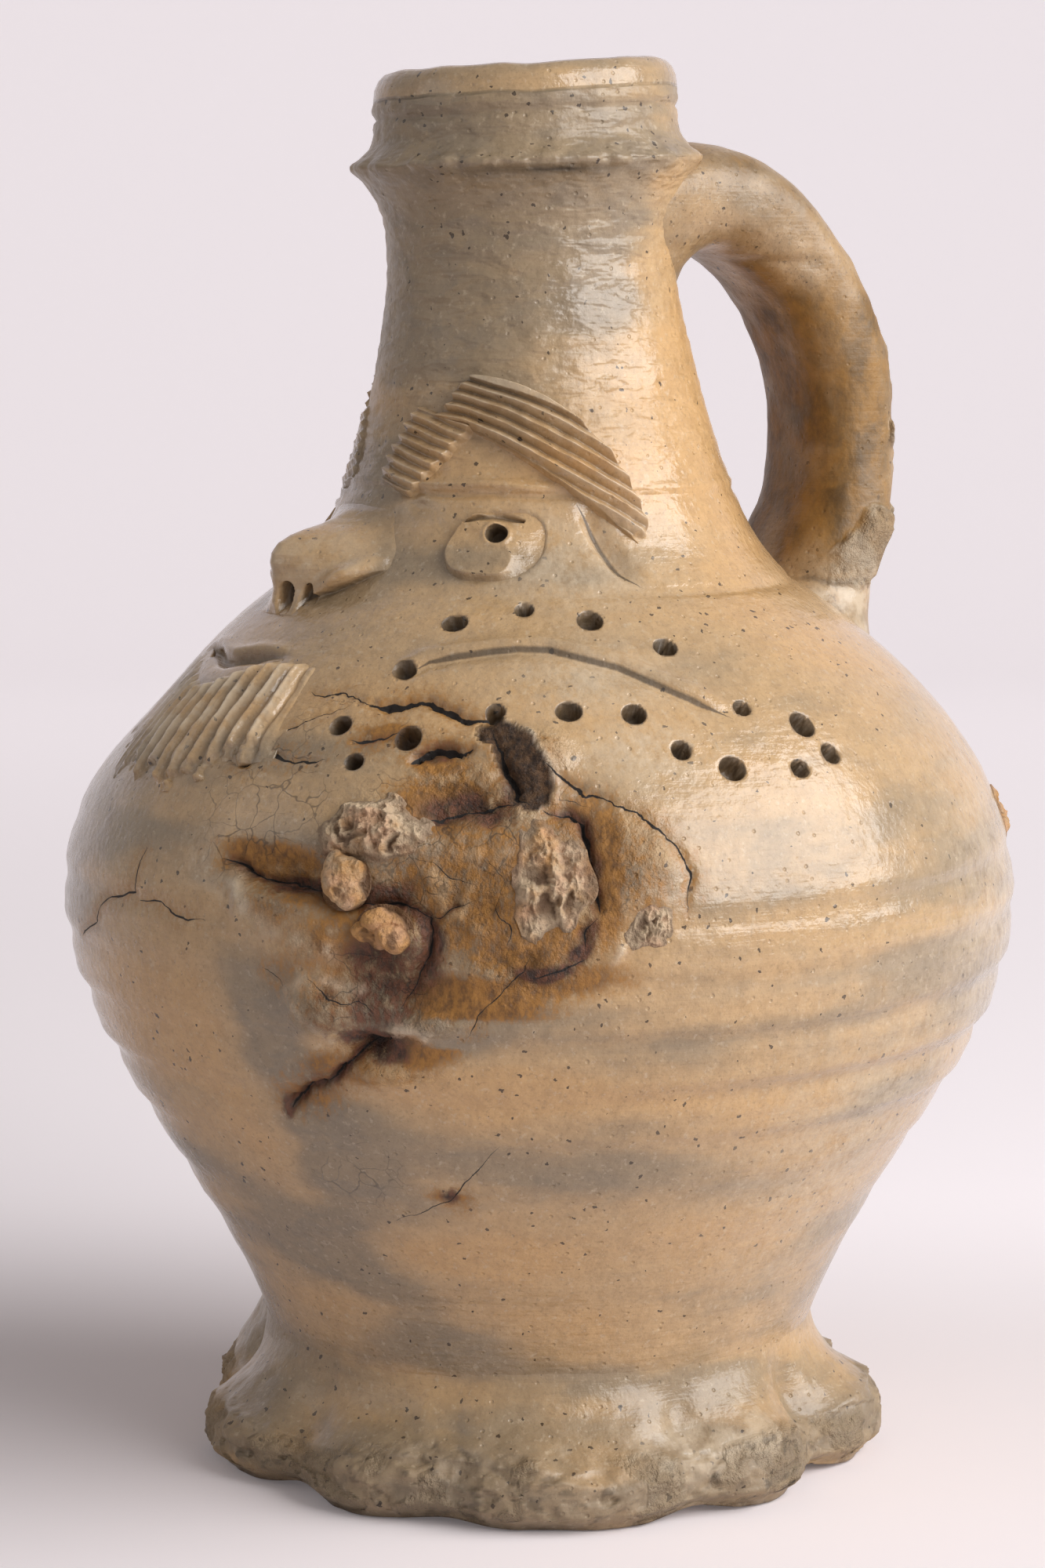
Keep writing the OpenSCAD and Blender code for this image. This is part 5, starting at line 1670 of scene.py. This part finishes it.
# %% Ground and specks
GREY_CLAY = paint(152, 132, 105)
BUFF_CLAY = paint(189, 156, 114)
ORANGE_CLAY = paint(198, 159, 110)
BLUE_GREY = paint(134, 120, 102)
PALE_CLAY = paint(206, 188, 163)
FRECKLE = paint(112, 92, 70)
DARK_FRECKLE = paint(78, 58, 36)
IRON = paint(50, 36, 26)
LARGE_IRON = paint(44, 34, 28)
CLOUD_SHADE = (0.66, 0.62, 0.58, 1.0)


def ground_colour(recipe, warm_shift):
    """Grey to buff to orange by the warm mark and mottling, with blue-grey clouds in the cool parts."""
    band = recipe.noise(38, 4, 0.6, 0.4, recipe.stretched(1.0, 1.0, 5.0))
    cloud = recipe.noise(120, 4, 0.62, 0.5, recipe.stretched(1.0, 1.0, 1.8))
    mix = recipe.plus(recipe.mark("warm"), warm_shift)
    mix = recipe.plus(mix, recipe.minus(recipe.times(band, 0.42), 0.2))
    mix = recipe.plus(mix, recipe.minus(recipe.times(cloud, 0.4), 0.2))
    colour = recipe.blend(recipe.step(mix, 0.1, 0.5), GREY_CLAY, BUFF_CLAY)
    colour = recipe.blend(recipe.step(mix, 0.45, 0.85), colour, ORANGE_CLAY)
    cool = recipe.times(recipe.step(mix, 0.32, 0.05), recipe.step(cloud, 0.42, 0.62))
    return recipe.blend(recipe.times(cool, 0.6), colour, BLUE_GREY)


def speckles(recipe, colour, dense):
    """Fine freckles, iron specks and a few large ones, by noise and the distance to scattered points."""
    cloudy = recipe.step(recipe.noise(340, 5, 0.72), 0.36, 0.66, 0, 0.38)
    colour = recipe.blend(cloudy, colour, CLOUD_SHADE, "MULTIPLY")
    colour = recipe.blend(recipe.step(recipe.noise(1500, 3, 0.7), 0.5, 0.78, 0, 0.4), colour, FRECKLE)
    colour = recipe.blend(recipe.step(recipe.noise(900, 3, 0.6), 0.56, 0.75, 0, 0.35), colour, PALE_CLAY)
    if dense:
        dark = recipe.step(recipe.noise(1300, 4, 0.75), 0.54, 0.68, 0, 0.55)
        colour = recipe.blend(dark, colour, DARK_FRECKLE)
    patchy = recipe.step(recipe.noise(60, 2), 0.3, 0.7, 0.05, 0.145)
    small = recipe.math("LESS_THAN", recipe.cells(390, where=recipe.shaken(1100, 0.0012)), patchy)
    colour = recipe.blend(recipe.times(small, 0.85), colour, IRON)
    large = recipe.step(recipe.cells(105, where=recipe.shaken(520, 0.002)), 0.05, 0.036)
    return recipe.blend(recipe.times(large, 0.85), colour, LARGE_IRON)


# %% [markdown]
# Over the ground come the marks that every glazed piece may have: grey ash, brown runs and pale places,
# which are partly wear and partly painted highlight and sheen. Each is broken up by noise, so that no mark
# shows the mesh's own grid.

# %% Weathering
DARK_RUN = paint(96, 72, 38)
LIGHT_RUN = paint(154, 114, 56)


def weathered(recipe, colour, streak):
    """Grey ash, brown runs and pale places that are partly wear and partly painted highlight, each by its own
    mark.
    """
    ash = recipe.times(recipe.mark("grey"), recipe.step(streak, 0.3, 0.7, 0.4, 1))
    colour = recipe.blend(ash, colour, GREY_CLAY)
    drip = recipe.noise(190, 5, 0.7, 0.3, recipe.stretched(1.0, 1.0, 0.75))
    brown = recipe.blend(recipe.step(drip, 0.3, 0.7), DARK_RUN, LIGHT_RUN)
    runs = recipe.plus(recipe.mark("stain"), recipe.times(recipe.minus(drip, 0.5), 0.5))
    colour = recipe.blend(recipe.step(runs, 0.1, 0.9), colour, brown)
    pale_wear_and_highlight = recipe.times(recipe.mark("pale"), recipe.step(streak, 0.35, 0.6))
    return recipe.blend(pale_wear_and_highlight, colour, PALE_CLAY)


# %% [markdown]
# The pot alone has the burst. Its stains end in fibres, its raised grain is painted light as a highlight,
# its lips flake, and the broken plate is dark. Black gaps, drawn cuts, crazing and deep grain count as shade.

# %% Colours of the burst
OCHRE = paint(160, 112, 52)
DARK_OCHRE = paint(98, 66, 34)
BURNT = paint(44, 26, 18)
LIGHT_BURNT = paint(104, 64, 42)
GRAIN_HIGHLIGHT = paint(204, 168, 124)
DARK_PLATE = paint(50, 35, 24)
LIGHT_PLATE = paint(104, 75, 48)


def fibrous(recipe, fibre, grain, strength):
    """Raggedness of a stain's edge: fibres about zero, less some of the raised grain."""
    return recipe.minus(recipe.times(recipe.minus(fibre, 0.5), strength), recipe.times(grain, 0.35))


def burst_colour(recipe, colour, grain):
    """The burst's layers over the weathered glaze: ochre, a painted highlight on the raised grain, burns that
    partly paint shade, flaked lips and the plate.
    """
    fibre = recipe.noise(900, 5, 0.7, 0.0, recipe.stretched(1.0, 1.0, 0.6))
    iron = recipe.blend(recipe.step(fibre, 0.3, 0.66), DARK_OCHRE, OCHRE)
    rusty = recipe.stained("ochre", fibrous(recipe, fibre, grain, 1.5), 0.1, 0.85)
    colour = recipe.blend(rusty, colour, iron)
    # Painted highlight on the raised grain.
    colour = recipe.blend(recipe.step(grain, 0.15, 0.75, 0, 0.6), colour, GRAIN_HIGHLIGHT)
    purple = recipe.blend(recipe.step(fibre, 0.38, 0.62), BURNT, LIGHT_BURNT)
    burns = recipe.stained("burnt", fibrous(recipe, fibre, grain, 1.1), 0.2, 0.78)
    colour = recipe.blend(burns, colour, purple)
    flaked = recipe.times(recipe.mark("pale"), recipe.step(fibre, 0.4, 0.58, 0.0, 0.85))
    colour = recipe.blend(flaked, colour, PALE_CLAY)
    brown = recipe.blend(recipe.step(recipe.noise(800, 4, 0.7), 0.35, 0.7), DARK_PLATE, LIGHT_PLATE)
    return recipe.blend(recipe.mark("plate"), colour, brown)


def burst_shade(recipe, grain):
    """The largest of crazing, tear gaps (half a width less the distance), drawn cuts and deep grain."""
    craze = recipe.cells(230, "DISTANCE_TO_EDGE", recipe.shaken(260, 0.0035))
    craze = recipe.times(recipe.step(craze, 0.026, 0.008), recipe.step(recipe.mark("craze"), 0.15, 0.6))
    craze = recipe.times(craze, recipe.step(recipe.noise(90, 2), 0.4, 0.55))
    shades = [recipe.times(craze, 0.55)]
    for group in range(TEAR_SETS):
        gap = recipe.math("ABSOLUTE", recipe.mark("tear_%d" % group))
        half = recipe.times(recipe.mark("tear_wide_%d" % group), 0.5)
        shades.append(recipe.step(recipe.minus(half, gap), -0.03, 0.05))
    # Painted shade along the cheek line and the nick.
    shades.append(recipe.step(recipe.math("ABSOLUTE", recipe.mark("cut")), 0.62, 0.2, 0.0, 0.72))
    shades.append(recipe.step(grain, -0.35, -0.95, 0, 0.6))
    return recipe.most(*shades)


# %% [markdown]
# The glaze's gloss is uneven, dull under soot, under painted shade and where it is burst, and broken by
# small bumps: orange peel, drawn lines, ripples on the neck, grit in the burst and pits.

# %% Glaze
# The dark colour laid over soot and over painted shade in holes, cuts, furrows, creases and gaps.
SOOT_AND_SHADE = paint(24, 17, 13)


def glaze_bumps(recipe):
    """Five bumps on top of each other, from orange peel to pits; heights are in metres."""
    bumps = recipe.bump(recipe.noise(760, 3, 0.55), 0.00017)
    drawn = recipe.noise(300, 3, 0.6, 0.2, recipe.stretched(0.12, 0.12, 2.6))
    bumps = recipe.bump(drawn, 0.00012, bumps)
    waves = recipe.noise(260, 2, 0.5, 0.3, recipe.stretched(0.55, 0.55, 1.5))
    bumps = recipe.bump(recipe.times(waves, recipe.mark("ripple")), 0.0009, bumps)
    crumb = recipe.times(recipe.noise(720, 4, 0.7), recipe.mark("grit"))
    bumps = recipe.bump(crumb, 0.0014, bumps)
    return recipe.bump(recipe.step(recipe.cells(410), 0.05, 0.16), 0.00012, bumps)


def glaze(name, warm_shift=0.0, torn=False, dense=False):
    """Salt-glazed stoneware; torn adds the burst's stains and gaps, dense adds fine dark freckles."""
    recipe = Recipe(name)
    streak = recipe.noise(210, 3, 0.6)
    colour = speckles(recipe, ground_colour(recipe, warm_shift), dense)
    colour = weathered(recipe, colour, streak)
    shade = recipe.times(recipe.mark("soot_and_shade"), recipe.step(streak, 0.2, 0.7, 0.7, 1.0))
    if torn:
        grain = recipe.mark("grain")
        colour = burst_colour(recipe, colour, grain)
        shade = recipe.most(shade, burst_shade(recipe, grain))
    recipe.feed("Base Color", recipe.blend(shade, colour, SOOT_AND_SHADE))
    matte = recipe.mark("matte")
    gloss = recipe.step(recipe.noise(160, 4, 0.65), 0.3, 0.72, 0.11, 0.28)
    recipe.feed("Roughness", recipe.most(gloss, recipe.times(shade, 0.8), recipe.times(matte, 0.7)))
    recipe.feed("IOR", 1.5)
    recipe.feed("Coat Weight", recipe.step(matte, 0.0, 0.6, 0.24, 0.0))
    recipe.feed("Coat Roughness", 0.08)
    recipe.feed("Normal", glaze_bumps(recipe))
    print(name, "nodes", len(recipe.tree.nodes))
    return recipe.material


pot_glaze = glaze("salt_glaze_pot", torn=True)
foot_glaze = glaze("salt_glaze_foot")
handle_glaze = glaze("salt_glaze_handle", -0.02, dense=True)
mask_glaze = glaze("salt_glaze_mask")

# %% [markdown]
# ## Kiln debris finish
# The lumps are unglazed: chalky, pinkish or yellow, with grit, and quite rough; their creases and the ring
# round each foot are painted dark as shade.

# %% Debris recipe
CHALK = paint(194, 170, 140)
YELLOW_CLAY = paint(186, 138, 82)
PINK_CLAY = paint(204, 160, 126)
GRIT = paint(104, 84, 64)
CREASE_AND_FOOT_SHADE = paint(88, 60, 38)


def debris_finish(name):
    """Pale and ochre grit mixed by the mesh's tint and noise, painted dark as shade in the creases and round
    the foot, rough and bumpy.
    """
    recipe = Recipe(name)
    mixed = recipe.plus(recipe.mark("tint"), recipe.minus(recipe.noise(420, 4, 0.65), 0.5))
    colour = recipe.blend(recipe.step(mixed, 0.1, 0.75), CHALK, YELLOW_CLAY)
    colour = recipe.blend(recipe.step(recipe.noise(240, 3), 0.45, 0.7, 0, 0.7), colour, PINK_CLAY)
    colour = recipe.blend(recipe.step(recipe.noise(1500, 4, 0.7), 0.52, 0.72, 0, 0.7), colour, GRIT)
    recipe.feed("Base Color", recipe.blend(recipe.times(recipe.mark("pit"), 0.9), colour, CREASE_AND_FOOT_SHADE))
    recipe.feed("Roughness", recipe.step(recipe.noise(300, 2), 0.3, 0.7, 0.55, 0.85))
    recipe.feed("Normal", recipe.bump(recipe.noise(900, 4, 0.7), 0.0009))
    print(name, "nodes", len(recipe.tree.nodes))
    return recipe.material


debris_clay = debris_finish("kiln_debris")

# %% [markdown]
# ## Joining the pieces to the frame
# Every piece rides on the jug's one body, stands for its solid and gets its finish.

# %% Ride, replace and dress
PIECES = [
    (pot, "vessel", "thrown_stoneware", pot_glaze), (foot_frill, "foot_frill", "foot_clay", foot_glaze),
    (handle, "handle", "handle_clay", handle_glaze), (nose, "nose", "mask_clay", mask_glaze),
    (eye_left, "eye_left", "mask_clay", mask_glaze), (eye_right, "eye_right", "mask_clay", mask_glaze),
    (brow_left_front, "brow_left_front", "combed_clay", mask_glaze),
    (brow_left_long, "brow_left_long", "combed_clay", mask_glaze),
    (brow_right_front, "brow_right_front", "combed_clay", mask_glaze),
    (brow_right_long, "brow_right_long", "combed_clay", mask_glaze),
    (beard_pad, "beard_pad", "combed_clay", mask_glaze)]
PIECES += [(piece, node, "kiln_debris", debris_clay) for node, piece in kiln_pieces.items()]

for piece, node, slot, material in PIECES:
    piece.data.materials.append(material)
    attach(piece, "root")
    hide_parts(node)
print("pieces:", len(PIECES))

# %% [markdown]
# ## Studio
# A pale sweep runs from the floor up behind the jug. The photograph's background is lighter than the lamps
# alone would make it, so the paper glows a little, more with the distance from the camera, but only as
# the camera or a gloss sees it. The glow is weakest just behind the jug's foot, which paints a darker band
# where the jug's shadow lies on the floor.

# %% Sweep
SWEEP_NEAR, SWEEP_FAR, SWEEP_BEND, SWEEP_HIGH, SWEEP_HALF = 1500, 1300, 900, 3000, 2600
GLOW = 0.47


def sweep():
    """A floor that turns up into a wall by a quarter circle, laid out away from the camera."""
    a = np.linspace(0, np.pi / 2, 24)
    wall_at = SWEEP_FAR + SWEEP_BEND
    along = np.concatenate([[-SWEEP_NEAR], SWEEP_FAR + SWEEP_BEND * np.sin(a), [wall_at]])
    up = np.concatenate([[0], SWEEP_BEND * (1 - np.cos(a)), [SWEEP_HIGH]])
    across = np.array([SWEEP_HALF, -SWEEP_HALF])
    back = np.array([-view_sin, view_cos])
    side = np.array([view_cos, view_sin])
    flat = along[:, None, None] * back + across[None, :, None] * side
    return np.concatenate([flat, (up[:, None] + 0 * across)[..., None]], -1)


sweep_grid = sweep()
sweep_faces = grid_faces(*sweep_grid.shape[:2], False, False)
backdrop = make_piece("studio_sweep", sweep_grid.reshape(-1, 3), sweep_faces, NO_TRIANGLES, {})
paper = Recipe("studio_paper")
away_from_camera = [(0, paper.place), (1, (-view_sin, view_cos, 0.5))]
reach = paper.add("ShaderNodeVectorMath", away_from_camera, operation="DOT_PRODUCT").outputs["Value"]
# Painted shadow: the glow dips in a band just behind the foot.
glow_with_shadow_band = paper.plus(paper.step(reach, 0.2, 1.2, 0, 0.51), paper.step(reach, 0.04, -0.16, 0, 0.1))
glow_with_shadow_band = paper.plus(glow_with_shadow_band, paper.step(reach, 0.04, 0.18, 0.15, 0.49))
rays = paper.add("ShaderNodeLightPath").outputs
seen = paper.most(rays["Is Camera Ray"], rays["Is Glossy Ray"])
paper.feed("Base Color", paint(236, 229, 232))
paper.feed("Emission Color", paint(255, 247, 252))
paper.feed("Emission Strength", paper.times(paper.times(glow_with_shadow_band, seen), GLOW))
paper.feed("Roughness", 0.9)
paper.feed("Specular IOR Level", 0.1)
backdrop.data.materials.append(paper.material)

# %% [markdown]
# One large soft lamp stands at the camera's right, which gives the broad highlights and the shadow to the
# left. A weak lamp at the left and a white surround, brighter in the gloss, fill the rest.

# %% Lamps and world
ROOM_LIGHT, ROOM_IN_GLOSS = 0.25, 0.6


def lamp(name, aside, high, far, width, height, watts, aim):
    """A rectangular lamp: aside is its turn to the camera's right, aimed at a height on the axis."""
    light = bpy.data.lights.new(name, "AREA")
    light.shape = "RECTANGLE"
    light.size, light.size_y = width, height
    light.energy = watts
    t = math.radians(VIEW_TURN + aside)
    where = np.array([far * math.sin(t), -far * math.cos(t), high])
    lamp_object = bpy.data.objects.new(name, light)
    lamp_object.location = where
    way = where - np.array([0, 0, aim])
    flat = math.hypot(way[0], way[1])
    lamp_object.rotation_euler = (math.atan2(flat, way[2]), 0, math.atan2(way[1], way[0]) + math.pi / 2)
    bpy.context.scene.collection.objects.link(lamp_object)
    print(name, "watts", watts)


lamp("soft_box", 63, 0.64, 0.95, 1.25, 0.85, 17.6, 0.12)
lamp("left_fill", -75, 0.7, 1.4, 0.9, 0.9, 1.5, 0.16)

world = bpy.data.worlds.new("white_room")
bpy.context.scene.world = world
world.use_nodes = True
sky = world.node_tree.nodes["Background"]
sky.inputs["Color"].default_value = (0.98, 0.93, 0.9, 1)
room = world.node_tree.nodes.new("ShaderNodeMapRange")
room.inputs["To Min"].default_value = ROOM_LIGHT
room.inputs["To Max"].default_value = ROOM_IN_GLOSS
glossy_ray = world.node_tree.nodes.new("ShaderNodeLightPath").outputs["Is Glossy Ray"]
world.node_tree.links.new(glossy_ray, room.inputs["Value"])
world.node_tree.links.new(room.outputs[0], sky.inputs["Strength"])
bpy.context.scene.view_settings.view_transform = "Standard"
